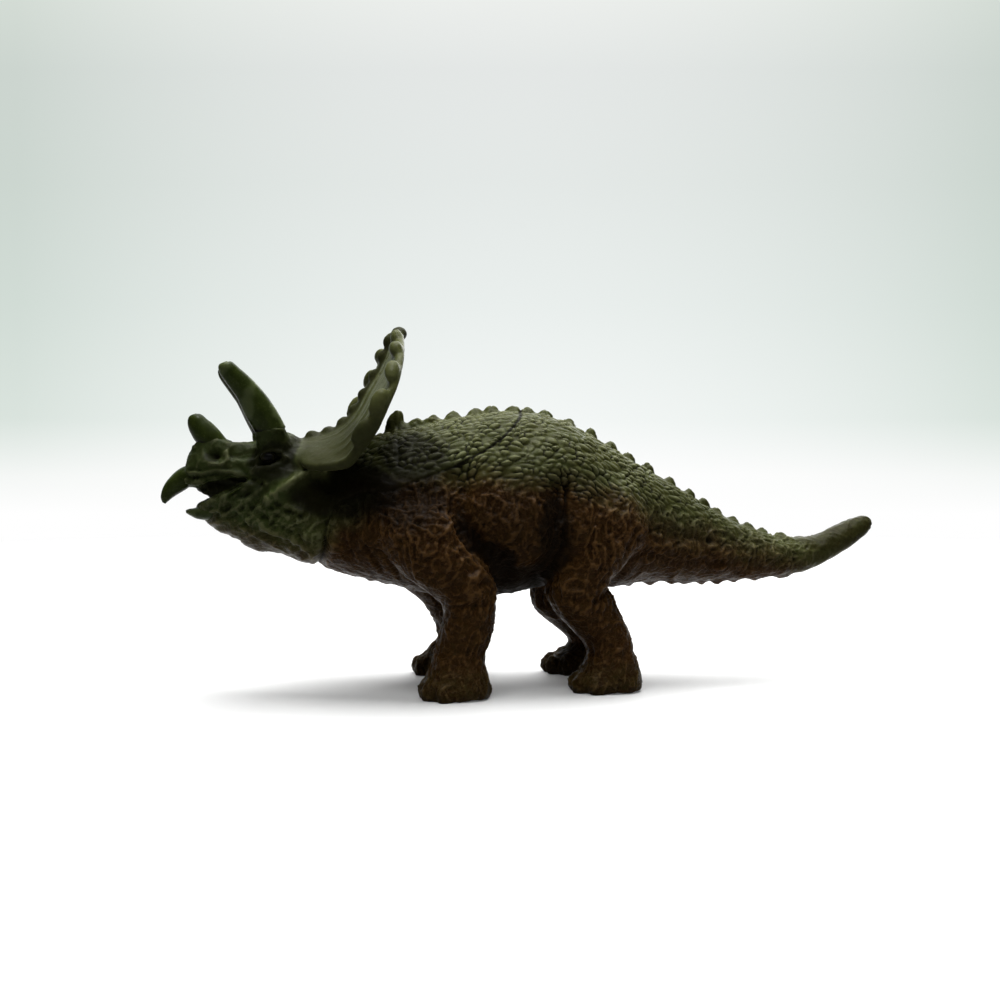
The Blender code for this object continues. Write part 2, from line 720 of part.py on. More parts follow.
def frill_lumps(rows):
    """Lumps round the frill's rim and a row of bumps along its midline."""
    rim_sizes = (RIM_LUMP_WIDTH, RIM_LUMP_WIDTH, RIM_LUMP_LENGTH)
    ridge_sizes = (RIDGE_BUMP_HEIGHT, RIDGE_BUMP_WIDTH, RIDGE_BUMP_LENGTH)
    places = [frill_place(rows, share, 0, RIDGE_RISE, ridge_sizes) for share in RIDGE_BUMP_SHARES]
    places.append((frill_grid(rows[-1], 0), rim_sizes[::-1], Matrix.Rotation(math.pi / 2, 4, "Z")))
    for side in (-RIM_LUMP_INSET_SHARE, RIM_LUMP_INSET_SHARE):
        places += [frill_place(rows, share, side, 0, rim_sizes) for share in RIM_LUMP_SHARES]
    return places


def fore_sizes():
    """Root, half depth, half thickness, reach and half stance of the fore legs."""
    root = trunk_point(SHOULDER_PLACE_SHARE, SHOULDER_HEIGHT_SHARE)
    return root, FORE_LEG_DEPTH / 2, FORE_LEG_THICKNESS / 2, FORE_LEG_REACH, FORE_STANCE / 2


def hind_sizes():
    """Root, half depth, half thickness, reach and half stance of the hind legs."""
    root = trunk_point(HIP_PLACE_SHARE, HIP_HEIGHT_SHARE)
    return root, HIND_LEG_DEPTH / 2, HIND_LEG_THICKNESS / 2, HIND_LEG_REACH, HIND_STANCE / 2


def leg_form(name, sizes, side, rows):
    """A leg lofted from its root inside the torso to its flat sole."""
    root, half_depth, half_thick, reach, half_stance = sizes
    rings = []
    for swing, height, depth, thickness, spread, tilt in smooth_rows(rows):
        center = Vector((root.x + swing * reach, side * spread * half_stance, height * root.z))
        half_deep = depth * half_depth
        half_wide = thickness * half_thick
        rings.append(section(center, math.radians(tilt), half_deep, half_wide, LEG_POINTS))
    return loft(name, rings)


def toes(sizes, side, rows):
    """Blunt toes round the front of the foot."""
    root, half_depth, half_thick, reach, half_stance = sizes
    swing, _, depth, thickness, spread, _ = rows[-2]
    center = Vector((root.x + swing * reach, side * spread * half_stance, TOE_HEIGHT * TOE_LIFT_SHARE))
    forward = depth * half_depth * TOE_SETBACK_SHARE
    across = thickness * half_thick * TOE_SETBACK_SHARE
    places = []
    for angle in TOE_ANGLES:
        place = center + Vector((-math.cos(angle) * forward, math.sin(angle) * across, 0))
        places.append((place, (TOE_LENGTH, TOE_WIDTH, TOE_HEIGHT), Matrix.Rotation(-angle, 4, "Z")))
    return places


def ground():
    """A block under the figure that cuts the soles flat."""
    mesh = bmesh.new()
    stance = FORE_STANCE + FORE_LEG_THICKNESS
    size = (TRUNK_LENGTH + CUT_OVERRUN, stance + CUT_OVERRUN, CUT_OVERRUN)
    place = Matrix.Translation((0, 0, -CUT_OVERRUN / 2)) @ Matrix.Diagonal((*size, 1))
    bmesh.ops.create_cube(mesh, size=1, matrix=place)
    return finish_mesh("ground", mesh)


def make_material(name, colour, roughness):
    """A plain painted plastic of one colour."""
    material = bpy.data.materials.new(name)
    material.use_nodes = True
    shader = material.node_tree.nodes["Principled BSDF"]
    shader.inputs["Base Color"].default_value = colour
    shader.inputs["Roughness"].default_value = roughness
    shader.inputs["Metallic"].default_value = 0
    return material


def settle(item, name, origin, parent, finish):
    """Name a finished piece, set its origin, parent it and give it its own material."""
    item.name = name
    item.data.name = name
    item.data.transform(Matrix.Translation(-origin))
    item.location = origin
    item.parent = parent
    item.data.materials.clear()
    item.data.materials.append(make_material(name + "_paint", *finish))
    item.data.shade_smooth()
    item.data.set_sharp_from_angle(angle=SHARP_ANGLE)


def seat(item, host, figure, origin):
    """Cut a horn's or a beak's socket into its host, then settle the piece."""
    combine(host, socket_for(item), "DIFFERENCE")
    settle(item, item.name, origin, figure, HORN_GREEN)


def split_body(body):
    """Part the body along its seam into torso and head, joined by the plug."""
    head = copy_of(body, "head")
    combine(body, front_region(Vector()), "DIFFERENCE")
    combine(head, front_region(Vector((-JOINT_GAP, 0, JOINT_GAP))), "INTERSECT")
    combine(head, neck_plug(0), "UNION")
    combine(body, neck_plug(JOINT_GAP), "DIFFERENCE")
    return body, head


def add_beaks(head, figure):
    """Seat the hooked upper beak and the scoop of the lower one."""
    root = head_point(*UPPER_BEAK_PLACE_SHARES)
    sizes = (UPPER_BEAK_LENGTH, UPPER_BEAK_WIDTH, UPPER_BEAK_DEPTH)
    seat(beak("upper_beak", root, UPPER_BEAK_SHARES, *sizes), head, figure, root)
    root = head_point(*LOWER_BEAK_PLACE_SHARES)
    sizes = (LOWER_BEAK_LENGTH, LOWER_BEAK_WIDTH, LOWER_BEAK_DEPTH)
    seat(beak("lower_beak", root, LOWER_BEAK_SHARES, *sizes), head, figure, root)


def add_horns(head, figure):
    """Seat the nose horn and the two brow horns."""
    base = head_point(*NOSE_HORN_PLACE_SHARES)
    piece = horn("nose_horn", base, NOSE_HORN_SHARES, NOSE_HORN_LENGTH, NOSE_HORN_WIDTH, 0)
    seat(piece, head, figure, base)
    for name, side in (("brow_horn_left", -1), ("brow_horn_right", 1)):
        base = brow_horn_base(side)
        piece = horn(name, base, BROW_HORN_SHARES, BROW_HORN_LENGTH, BROW_HORN_WIDTH, side)
        seat(piece, head, figure, base)


def add_frill(head, figure):
    """Seat the frill in the skull, then raise its lumps."""
    rows = smooth_rows(FRILL_SHARES)
    frill = frill_plate(rows)
    combine(head, socket_for(frill), "DIFFERENCE")
    for place in frill_lumps(rows):
        combine(frill, balls("lump", [place]), "UNION")
    settle(frill, "frill", head_point(*FRILL_PLACE_SHARES), figure, SKIN_GREEN)


def add_legs(torso, figure):
    """Seat the four legs, with toes and flat soles."""
    legs = (
        ("fore_leg_left", fore_sizes(), -1, FORE_LEFT_SHARES),
        ("fore_leg_right", fore_sizes(), 1, FORE_RIGHT_SHARES),
        ("hind_leg_left", hind_sizes(), -1, HIND_LEFT_SHARES),
        ("hind_leg_right", hind_sizes(), 1, HIND_RIGHT_SHARES),
    )
    for name, sizes, side, rows in legs:
        leg = leg_form(name, sizes, side, rows)
        combine(torso, socket_for(leg), "DIFFERENCE")
        for place in toes(sizes, side, rows):
            combine(leg, balls("toe", [place]), "UNION")
        combine(leg, ground(), "DIFFERENCE")
        settle(leg, name, sizes[0] + Vector((0, side * sizes[-1], 0)), figure, SKIN_BROWN)


def build():
    """Model every piece and seat it in its neighbour."""
    clear_scene()
    figure = bpy.data.objects.new("figure", None)
    bpy.context.scene.collection.objects.link(figure)
    body = trunk_form()
    combine(body, head_form(), "UNION")
    for place in scute_places():
        combine(body, balls("scute", [place]), "UNION")
    torso, head = split_body(body)
    for side in (-1, 1):
        combine(head, brow_boss(side), "UNION")
    combine(head, mouth_cutter(), "DIFFERENCE")
    cut_face(head)

    add_beaks(head, figure)
    add_horns(head, figure)
    add_frill(head, figure)
    add_legs(torso, figure)
    for piece in (head, torso):
        keep_largest(piece)
    settle(head, "head", head_point(0, 0), figure, SKIN_GREEN)
    settle(torso, "torso", trunk_point(HIP_PLACE_SHARE, 0), figure, SKIN_OLIVE)


build()
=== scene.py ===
import itertools
import math

import bmesh
import bpy
import numpy as np
from bpy.props import FloatProperty, FloatVectorProperty, PointerProperty
from bpy.types import Operator, Panel, PropertyGroup
from mathutils import Matrix, Vector
from mathutils.bvhtree import BVHTree


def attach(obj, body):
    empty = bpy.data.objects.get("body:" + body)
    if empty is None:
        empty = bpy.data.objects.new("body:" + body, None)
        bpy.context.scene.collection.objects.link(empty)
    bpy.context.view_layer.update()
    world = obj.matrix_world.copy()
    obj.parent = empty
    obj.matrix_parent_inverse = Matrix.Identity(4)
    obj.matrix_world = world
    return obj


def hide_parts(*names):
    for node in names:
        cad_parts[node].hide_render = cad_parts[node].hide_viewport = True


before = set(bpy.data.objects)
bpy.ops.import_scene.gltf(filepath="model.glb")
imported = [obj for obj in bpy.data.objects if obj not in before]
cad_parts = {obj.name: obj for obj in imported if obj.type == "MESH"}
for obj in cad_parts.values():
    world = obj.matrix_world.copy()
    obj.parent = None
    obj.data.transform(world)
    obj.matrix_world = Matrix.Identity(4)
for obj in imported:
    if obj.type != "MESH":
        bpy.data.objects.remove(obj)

bl_info = {
    "name": "Toy horned dinosaur",
    "version": (1, 0, 0),
    "blender": (4, 5, 0),
    "location": "View3D > Sidebar > Toy",
    "description": "Models the skin, horns, beak, eyes and studio of a toy horned dinosaur",
    "category": "Object",
}

MM = 0.001

# Trunk, from the throat to the tip of the tail
TRUNK_LENGTH = 0.1199
BODY_DEPTH = 0.0374
BODY_WIDTH = 0.0412
BELLY_CLEARANCE = 0.0186
BACK_NARROWING_SHARE = 0.14

# Head, from the back of the cheeks to the front of the muzzle
HEAD_LENGTH = 0.0330
HEAD_DEPTH = 0.0273
HEAD_WIDTH = 0.0264
HEAD_PLACE_SHARE = 0.065
HEAD_LIFT_SHARE = 0.185
HEAD_NARROWING_SHARE = 0.22

# Beak pieces
UPPER_BEAK_LENGTH = 0.0062
UPPER_BEAK_WIDTH = 0.0062
UPPER_BEAK_DEPTH = 0.0046
BEAK_OVERHANG_SHARE = 0.84
LOWER_BEAK_LENGTH = 0.0115
LOWER_BEAK_WIDTH = 0.0150
LOWER_BEAK_DEPTH = 0.0036

# Horns
BROW_HORN_LENGTH = 0.0153
BROW_HORN_WIDTH = 0.0057
BROW_HORN_SPREAD = 0.0140
BROW_BOSS_RIM = 0.0004
NOSE_HORN_LENGTH = 0.0066
NOSE_HORN_WIDTH = 0.0060
HORN_PEG_LENGTH = 0.0026
HORN_PEG_SHARE = 0.6
HORN_BASE_TILT = math.radians(9)
HORN_FLATTENING_SHARE = 0.94

# Frill
FRILL_REACH = 0.0229
FRILL_RISE = 0.0242
FRILL_WIDTH = 0.0442
FRILL_THICKNESS = 0.0026
FRILL_BEND_POWER = 1.7
FRILL_EDGE_SHARE = 0.55
RIM_LUMP_LENGTH = 0.0046
RIM_LUMP_WIDTH = 0.0030
RIM_LUMP_INSET_SHARE = 0.97
RIDGE_BUMP_LENGTH = 0.0034
RIDGE_BUMP_WIDTH = 0.0027
RIDGE_BUMP_HEIGHT = 0.0024
RIDGE_RISE = 0.0010

# Scutes along the back and the tail
SCUTE_LENGTH = 0.0034
SCUTE_WIDTH = 0.0023
SCUTE_HEIGHT = 0.0013
NAPE_SCUTE_HEIGHT = 0.0046
SCUTE_SHRINK_SHARE = 0.33
SCUTE_DOME_SHARE = 1.38
SCUTE_CONE_SHARE = 1.72

# Legs
FORE_LEG_DEPTH = 0.0158
FORE_LEG_THICKNESS = 0.0144
FORE_LEG_REACH = 0.0120
FORE_STANCE = 0.0334
HIND_LEG_DEPTH = 0.0174
HIND_LEG_THICKNESS = 0.0150
HIND_LEG_REACH = 0.0100
HIND_STANCE = 0.0262
TOE_LENGTH = 0.0046
TOE_WIDTH = 0.0036
TOE_HEIGHT = 0.0052
TOE_SETBACK_SHARE = 0.86
TOE_LIFT_SHARE = 0.32
TOE_ANGLES = tuple(math.radians(angle) for angle in (-57, -19, 19, 57))

# Face
EYE_DIAMETER = 0.0032
EYE_INSET = 0.0011

# Squareness of sections
SQUARE_POWER = 0.88
ROUND_POWER = 1.0

# Trunk sections: place along the trunk, top and bottom above the belly line
# as shares of the body's depth, and width as a share of the body's width
TRUNK_SHARES = (
    (0.000, 0.700, 0.200, 0.61),
    (0.030, 0.770, 0.155, 0.68),
    (0.060, 0.820, 0.122, 0.74),
    (0.100, 0.866, 0.097, 0.81),
    (0.142, 0.900, 0.061, 0.87),
    (0.185, 0.930, 0.024, 0.91),
    (0.230, 0.960, 0.004, 0.95),
    (0.275, 0.985, 0.000, 0.98),
    (0.318, 1.000, 0.004, 1.00),
    (0.360, 0.997, 0.022, 1.00),
    (0.402, 0.975, 0.050, 0.97),
    (0.445, 0.925, 0.050, 0.90),
    (0.487, 0.850, 0.035, 0.80),
    (0.530, 0.770, 0.040, 0.70),
    (0.572, 0.692, 0.058, 0.60),
    (0.614, 0.618, 0.062, 0.52),
    (0.655, 0.542, 0.058, 0.45),
    (0.698, 0.455, 0.058, 0.40),
    (0.740, 0.390, 0.060, 0.35),
    (0.782, 0.335, 0.064, 0.31),
    (0.824, 0.296, 0.078, 0.26),
    (0.867, 0.290, 0.098, 0.22),
    (0.910, 0.325, 0.150, 0.18),
    (0.953, 0.385, 0.230, 0.15),
    (0.984, 0.415, 0.300, 0.11),
    (1.000, 0.395, 0.355, 0.04),
)

# Head sections, forward from the neck: place along the head, top and bottom
# as shares of the head's depth, and width as a share of the head's width
HEAD_SHARES = (
    (0.000, 0.806, 0.085, 0.98),
    (0.116, 0.830, 0.040, 1.00),
    (0.200, 0.850, 0.014, 0.97),
    (0.290, 0.890, 0.010, 0.93),
    (0.363, 0.960, 0.042, 0.89),
    (0.436, 0.970, 0.081, 0.84),
    (0.523, 0.930, 0.095, 0.76),
    (0.610, 0.890, 0.127, 0.66),
    (0.698, 0.880, 0.190, 0.57),
    (0.785, 0.922, 0.239, 0.49),
    (0.860, 0.925, 0.313, 0.41),
    (0.925, 0.880, 0.440, 0.33),
    (0.965, 0.820, 0.530, 0.27),
    (0.995, 0.745, 0.570, 0.20),
)

# Seam between head and torso, from the top of the back to the throat: place
# along the trunk and height above the belly line
SEAM_SHARES = (
    (0.359, 1.107),
    (0.355, 1.010),
    (0.327, 0.925),
    (0.304, 0.864),
    (0.279, 0.810),
    (0.258, 0.773),
    (0.219, 0.717),
    (0.176, 0.660),
    (0.113, 0.583),
    (0.067, 0.578),
    (0.033, 0.527),
    (0.012, 0.412),
    (0.008, 0.233),
    (0.007, 0.010),
)

# Mouth opening, as shares of the head's length and depth: from the front
# along the palate to the corner, and back along the lower jaw
MOUTH_SHARES = (
    (1.176, 0.557),
    (0.942, 0.568),
    (0.873, 0.626),
    (0.691, 0.656),
    (0.630, 0.637),
    (0.630, 0.604),
    (0.767, 0.518),
    (0.900, 0.436),
    (1.176, 0.381),
)

# Frill sections, from the tongue in the skull to the top edge: the middle's
# place and height, the side edge's place and height, width and thickness
FRILL_SHARES = (
    (-0.135, -0.037, -0.127, -0.083, 0.20, 0.70),
    (0.005, -0.005, -0.048, -0.186, 0.52, 0.90),
    (0.160, 0.020, 0.127, -0.200, 0.70, 1.00),
    (0.312, 0.085, 0.297, -0.170, 0.85, 1.00),
    (0.452, 0.198, 0.412, -0.025, 0.94, 1.00),
    (0.535, 0.322, 0.510, 0.116, 0.99, 1.00),
    (0.602, 0.442, 0.593, 0.290, 1.00, 1.00),
    (0.702, 0.600, 0.680, 0.475, 0.94, 1.00),
    (0.772, 0.765, 0.750, 0.680, 0.72, 0.95),
    (0.812, 0.870, 0.785, 0.820, 0.44, 0.80),
    (0.828, 0.920, 0.805, 0.895, 0.20, 0.60),
)

# Leg sections, from the root in the torso to the sole: forward swing, height,
# depth, thickness and distance from the midline as shares, and tilt in degrees
FORE_LEFT_SHARES = (
    (0.000, 1.000, 0.70, 0.52, 0.66, 10),
    (0.000, 0.944, 0.91, 0.80, 0.80, 15),
    (0.067, 0.867, 1.00, 1.00, 0.87, 25),
    (0.233, 0.770, 0.91, 1.00, 0.91, 35),
    (0.500, 0.671, 0.79, 0.92, 0.95, 38),
    (0.825, 0.584, 0.76, 0.83, 0.97, 28),
    (0.950, 0.490, 0.67, 0.75, 0.98, 8),
    (0.945, 0.393, 0.62, 0.70, 0.99, -6),
    (0.860, 0.296, 0.61, 0.68, 0.99, -10),
    (0.785, 0.204, 0.63, 0.68, 0.99, -8),
    (0.775, 0.122, 0.75, 0.77, 1.00, -3),
    (0.750, 0.056, 0.84, 0.85, 1.00, 0),
    (0.750, 0.000, 0.80, 0.80, 1.00, 0),
)
FORE_RIGHT_SHARES = (
    (0.000, 1.000, 0.70, 0.52, 0.66, 10),
    (0.000, 0.944, 0.91, 0.80, 0.80, 14),
    (0.067, 0.867, 1.00, 1.00, 0.87, 20),
    (0.240, 0.770, 0.93, 1.00, 0.91, 28),
    (0.467, 0.658, 0.84, 0.92, 0.95, 32),
    (0.725, 0.556, 0.77, 0.83, 0.97, 32),
    (1.000, 0.459, 0.71, 0.75, 0.98, 26),
    (1.158, 0.362, 0.66, 0.70, 0.99, 18),
    (1.258, 0.270, 0.62, 0.67, 0.99, 8),
    (1.275, 0.189, 0.62, 0.68, 0.99, -2),
    (1.183, 0.117, 0.75, 0.75, 1.00, -8),
    (1.050, 0.056, 0.86, 0.85, 1.00, 0),
    (1.050, 0.000, 0.81, 0.80, 1.00, 0),
)
HIND_LEFT_SHARES = (
    (0.00, 1.000, 0.63, 0.53, 0.73, 0),
    (0.07, 0.903, 0.90, 0.83, 0.84, 0),
    (0.10, 0.791, 1.00, 0.98, 0.90, 0),
    (0.05, 0.677, 0.95, 1.00, 0.94, 0),
    (-0.21, 0.573, 0.84, 0.93, 0.97, 6),
    (-0.46, 0.482, 0.74, 0.85, 0.99, 14),
    (-0.32, 0.397, 0.65, 0.76, 1.00, 22),
    (-0.11, 0.321, 0.58, 0.70, 1.00, 20),
    (0.11, 0.248, 0.55, 0.66, 1.00, 9),
    (0.21, 0.174, 0.54, 0.66, 1.00, 0),
    (0.20, 0.110, 0.67, 0.72, 1.00, 0),
    (0.16, 0.050, 0.82, 0.80, 1.00, 0),
    (0.16, 0.000, 0.77, 0.76, 1.00, 0),
)
HIND_RIGHT_SHARES = (
    (0.00, 1.000, 0.63, 0.53, 0.73, 0),
    (0.07, 0.903, 0.90, 0.83, 0.84, 0),
    (0.10, 0.791, 1.00, 0.98, 0.90, 0),
    (0.07, 0.677, 0.95, 1.00, 0.94, 2),
    (-0.07, 0.565, 0.84, 0.93, 0.97, 6),
    (-0.23, 0.463, 0.74, 0.85, 0.99, 14),
    (-0.20, 0.385, 0.73, 0.78, 1.00, 24),
    (0.08, 0.298, 0.58, 0.69, 1.00, 30),
    (0.40, 0.225, 0.57, 0.66, 1.00, 22),
    (0.50, 0.160, 0.57, 0.66, 1.00, 6),
    (0.40, 0.100, 0.71, 0.72, 1.00, -5),
    (0.22, 0.050, 0.83, 0.80, 1.00, 0),
    (0.22, 0.000, 0.78, 0.76, 1.00, 0),
)

# Horn sections from base to tip: forward lean and height as shares of the
# length, sideways lean as a share of the length, and thickness
BROW_HORN_SHARES = (
    (0.000, 0.000, 0.00, 1.06),
    (0.092, 0.175, 0.02, 1.06),
    (0.180, 0.330, 0.03, 0.99),
    (0.272, 0.457, 0.05, 0.86),
    (0.400, 0.614, 0.08, 0.74),
    (0.515, 0.745, 0.10, 0.62),
    (0.560, 0.800, 0.11, 0.47),
    (0.575, 0.830, 0.11, 0.24),
)
NOSE_HORN_SHARES = (
    (0.000, 0.000, 0.00, 1.00),
    (0.140, 0.180, 0.00, 0.96),
    (0.270, 0.350, 0.00, 0.86),
    (0.400, 0.520, 0.00, 0.73),
    (0.500, 0.700, 0.00, 0.58),
    (0.550, 0.800, 0.00, 0.42),
    (0.570, 0.850, 0.00, 0.20),
)

# Beak sections, forward from the root: place along and height as shares of
# the length, width and depth as shares, and tilt in degrees
UPPER_BEAK_SHARES = (
    (-0.45, 0.10, 0.60, 0.60, 90),
    (0.00, 0.00, 0.96, 0.94, 97),
    (0.31, -0.21, 0.86, 0.83, 122),
    (0.58, -0.48, 0.62, 0.63, 134),
    (0.72, -0.72, 0.38, 0.39, 145),
    (0.74, -0.86, 0.15, 0.15, 150),
)
LOWER_BEAK_SHARES = (
    (0.00, 0.00, 1.00, 0.12, 117),
    (0.16, -0.10, 1.06, 0.32, 117),
    (0.33, -0.23, 0.98, 0.55, 116),
    (0.49, -0.36, 0.86, 0.80, 112),
    (0.63, -0.48, 0.68, 1.00, 107),
    (0.82, -0.51, 0.42, 0.67, 100),
    (0.94, -0.49, 0.22, 0.36, 96),
    (1.00, -0.48, 0.10, 0.14, 95),
)

# Places on the figure, as shares of the trunk's or the head's sizes
SHOULDER_PLACE_SHARE = 0.146
SHOULDER_HEIGHT_SHARE = 0.550
HIP_PLACE_SHARE = 0.469
HIP_HEIGHT_SHARE = 0.668
UPPER_BEAK_PLACE_SHARES = (0.985, 0.645)
LOWER_BEAK_PLACE_SHARES = (0.645, 0.590)
BROW_HORN_PLACE_SHARES = (0.506, 0.985)
BROW_BOSS_ROOT_SHARES = (0.455, 0.800)
BROW_BOSS_SPREAD_SHARE = 0.60
NOSE_HORN_PLACE_SHARES = (0.835, 0.890)
FRILL_PLACE_SHARES = (0.280, 0.880)
EYE_PLACE_SHARES = (0.515, 0.787, 0.76)
NOSTRIL_PLACE_SHARES = (0.807, 0.795, 0.40)
LINING_SHARE = 0.70
NOTCH_PLACE_SHARES = (0.935, 0.42)
NOTCH_SIZES = (0.0086, 0.0300, 0.0064)
RIM_LUMP_SHARES = (0.46, 0.57, 0.67, 0.765, 0.84, 0.91)
RIDGE_BUMP_SHARES = (0.14, 0.24, 0.34, 0.44, 0.55, 0.66, 0.76, 0.86)
NAPE_SCUTE_PLACE_SHARE = 0.137
SCUTE_PLACE_SHARES = (
    0.150, 0.176, 0.205, 0.240, 0.278, 0.307, 0.344, 0.369, 0.398, 0.439, 0.478,
    0.514, 0.546, 0.580, 0.621, 0.657, 0.684, 0.708, 0.738, 0.766, 0.794, 0.830,
)


# Fineness of the forms
RING_STEPS = 8
BODY_POINTS = 72
LEG_POINTS = 40
HORN_POINTS = 40
FRILL_POINTS = 61
BALL_SEGMENTS = 24
BALL_RINGS = 14

# Camera of the photograph
VIEW_YAW = math.radians(11)
VIEW_DROP = math.radians(2)
VIEW_PLACE = (-0.06676, -0.30924, 0.0490)
VIEW_LENS = 55.1
SENSOR_WIDTH = 36

# Seats of the legs, where their roots melt into the body: place along the
# figure, height, half length and half height in millimetres
MELT_ZONES = (
    (-22.5, 44.0, 15.0, 11.5),
    (16.0, 44.5, 16.0, 9.0),
)

# How much the toes melt into the foot
TOE_MELT = 0.10

# Lower edge of the scales and of the green spray: place and height in millimetres
SCALE_EDGE = ((-46, 50), (-38, 43.5), (-14, 42.5), (-6, 41), (2, 39.5), (10, 38), (18, 37.8), (26, 37.0), (34, 34.8), (43, 32), (56, 29.5), (75, 31))
GREEN_EDGE = ((-75, 20), (-46, 24), (-40, 34), (-30, 42), (-14, 43.5), (-6, 43), (2, 41.5), (10, 39), (18, 37.5), (26, 35), (34, 32.0), (43, 29.5), (56, 26), (75, 26))

# Creases and folds of the near side, mirrored to the far one: the pieces they
# lie on, depth, width and height of the lip, then places and heights, all in
# millimetres. A negative depth is a raised fold
BODY_FOLDS = (
    ("torso", 2.00, 2.80, 0.00, ((-17.5, 43.0), (-17.9, 39.5), (-18.1, 36.2), (-17.4, 33.0), (-15.0, 30.2), (-12.0, 27.4), (-8.6, 23.6))),
    ("torso fore_leg", 0.45, 0.40, 0.15, ((-19.9, 39.5), (-20.1, 36.2), (-19.2, 32.4), (-16.6, 28.9), (-13.7, 25.9), (-10.3, 22.0))),
    ("torso", 2.20, 2.80, 0.00, ((2.2, 41.0), (2.0, 40.0), (1.4, 34.0), (1.4, 29.2), (-0.6, 25.0), (-2.0, 22.4))),
    ("torso hind_leg", 0.45, 0.38, 0.20, ((3.7, 42.4), (3.5, 40.4), (2.9, 34.0), (2.9, 29.2), (1.1, 24.5), (0.1, 22.4))),
    ("torso", -0.50, 1.10, 0.00, ((16.0, 30.6), (24.0, 28.8), (33.0, 27.4), (44.0, 26.4), (54.0, 27.0))),
    ("torso", 0.45, 1.10, 0.00, ((14.0, 33.6), (24.0, 32.0), (34.0, 30.0), (44.0, 28.8))),
    ("torso", 0.30, 0.70, 0.00, ((18.0, 27.6), (28.0, 26.0), (40.0, 24.6))),
    ("torso hind_leg", 0.55, 0.90, 0.10, ((9.0, 19.0), (12.5, 20.8), (16.0, 23.5), (17.5, 28.0))),
    ("hind_leg", -0.28, 1.68, 0.00, ((8.0, 22.0), (11.5, 26.0), (14.0, 31.0), (15.0, 36.0))),
    ("head", 0.30, 0.42, 0.34, ((-69.4, 43.0), (-67.0, 42.9), (-64.4, 43.6), (-61.6, 43.2), (-58.8, 42.4))),
    ("head", 0.12, 0.30, 0.14, ((-69.0, 44.4), (-66.5, 44.2), (-64.0, 44.8), (-61.6, 44.6))),
    ("head", -0.62, 0.42, 0.00, ((-56.4, 45.0), (-56.2, 46.6), (-55.0, 47.8), (-53.4, 48.4), (-51.8, 47.9), (-50.6, 46.6))),
    ("head", -0.60, 0.62, 0.00, ((-57.5, 43.7), (-55.8, 44.5), (-53.8, 44.9), (-52.1, 45.8), (-51.0, 46.6))),
    ("head", 0.40, 0.50, 0.10, ((-57.8, 45.2), (-56.0, 45.4), (-54.2, 45.9))),
    ("head", -1.50, 1.15, 0.00, ((-43.5, 44.0), (-46.5, 44.2), (-49.0, 42.6), (-51.5, 40.6), (-53.8, 38.7))),
    ("head", 0.20, 0.45, 0.20, ((-65.6, 34.6), (-61.5, 37.2), (-57.7, 40.3), (-55.5, 41.6))),
    ("head", 0.14, 0.45, 0.12, ((-63.0, 33.4), (-59.0, 35.8), (-55.8, 38.6))),
    ("head", -0.50, 0.60, 0.00, ((-68.4, 49.0), (-66.6, 50.1), (-63.4, 50.2), (-61.0, 49.2), (-58.0, 49.6))),
    ("head", -0.60, 0.50, 0.00, ((-65.1, 45.5), (-63.3, 45.2), (-61.9, 46.4), (-62.2, 47.8))),
    ("head", 0.55, 0.90, 0.00, ((-61.0, 47.4), (-59.2, 47.2), (-57.6, 47.6))),
    ("head", 0.50, 0.80, 0.10, ((-59.6, 45.0), (-57.6, 42.9), (-55.8, 42.0))),
    ("torso", 0.40, 0.40, 0.12, ((-30.5, 27.8), (-28.9, 26.6), (-27.2, 24.4), (-25.4, 22.0))),
    ("torso", 0.30, 0.35, 0.12, ((-33.5, 29.0), (-31.0, 26.5), (-29.0, 23.5))),
    ("torso", 0.30, 0.35, 0.10, ((-36.5, 30.5), (-34.5, 27.5), (-32.5, 25.0))),
    ("torso", 0.45, 0.90, 0.00, ((-38.5, 38.0), (-38.0, 33.5), (-38.5, 28.5))),
    ("head torso", 0.80, 0.85, 0.20, ((-43.2, 35.5), (-43.6, 30.5), (-43.9, 27.0), (-44.0, 24.0))),
    ("head", 0.30, 0.50, 0.18, ((-50.5, 36.5), (-49.0, 33.5), (-48.0, 30.0))),
    ("head", 0.36, 0.50, 0.22, ((-58.5, 34.0), (-54.5, 31.6), (-50.0, 30.2), (-47.0, 28.2))),
    ("head", 0.34, 0.50, 0.22, ((-57.0, 36.8), (-53.5, 33.8), (-49.5, 32.0), (-47.0, 30.6))),
    ("head", 0.34, 0.50, 0.22, ((-53.5, 38.8), (-51.0, 36.5), (-48.6, 35.6))),
    ("fore_leg", 0.16, 0.72, 0.11, ((-20.5, 22.8), (-17.0, 22.0), (-13.0, 23.2))),
    ("fore_leg", 0.11, 0.60, 0.09, ((-21.5, 19.2), (-18.0, 18.2), (-14.0, 19.0))),
    ("fore_leg", 0.23, 1.32, 0.00, ((-24.6, 20.0), (-23.6, 14.5), (-24.0, 9.5))),
    ("fore_leg", 0.11, 0.60, 0.07, ((-25.5, 10.5), (-22.0, 9.2), (-17.5, 9.8))),
    ("hind_leg", 0.15, 0.72, 0.09, ((2.5, 19.5), (6.5, 18.3), (10.5, 18.8))),
    ("hind_leg", 0.10, 0.60, 0.07, ((4.5, 15.8), (8.0, 14.4), (12.5, 15.2))),
    ("hind_leg", 0.17, 1.20, 0.00, ((7.0, 13.0), (8.6, 9.0), (8.0, 5.0))),
    ("hind_leg", 0.11, 0.60, 0.07, ((8.0, 8.6), (11.5, 7.4), (15.5, 7.9))),
)

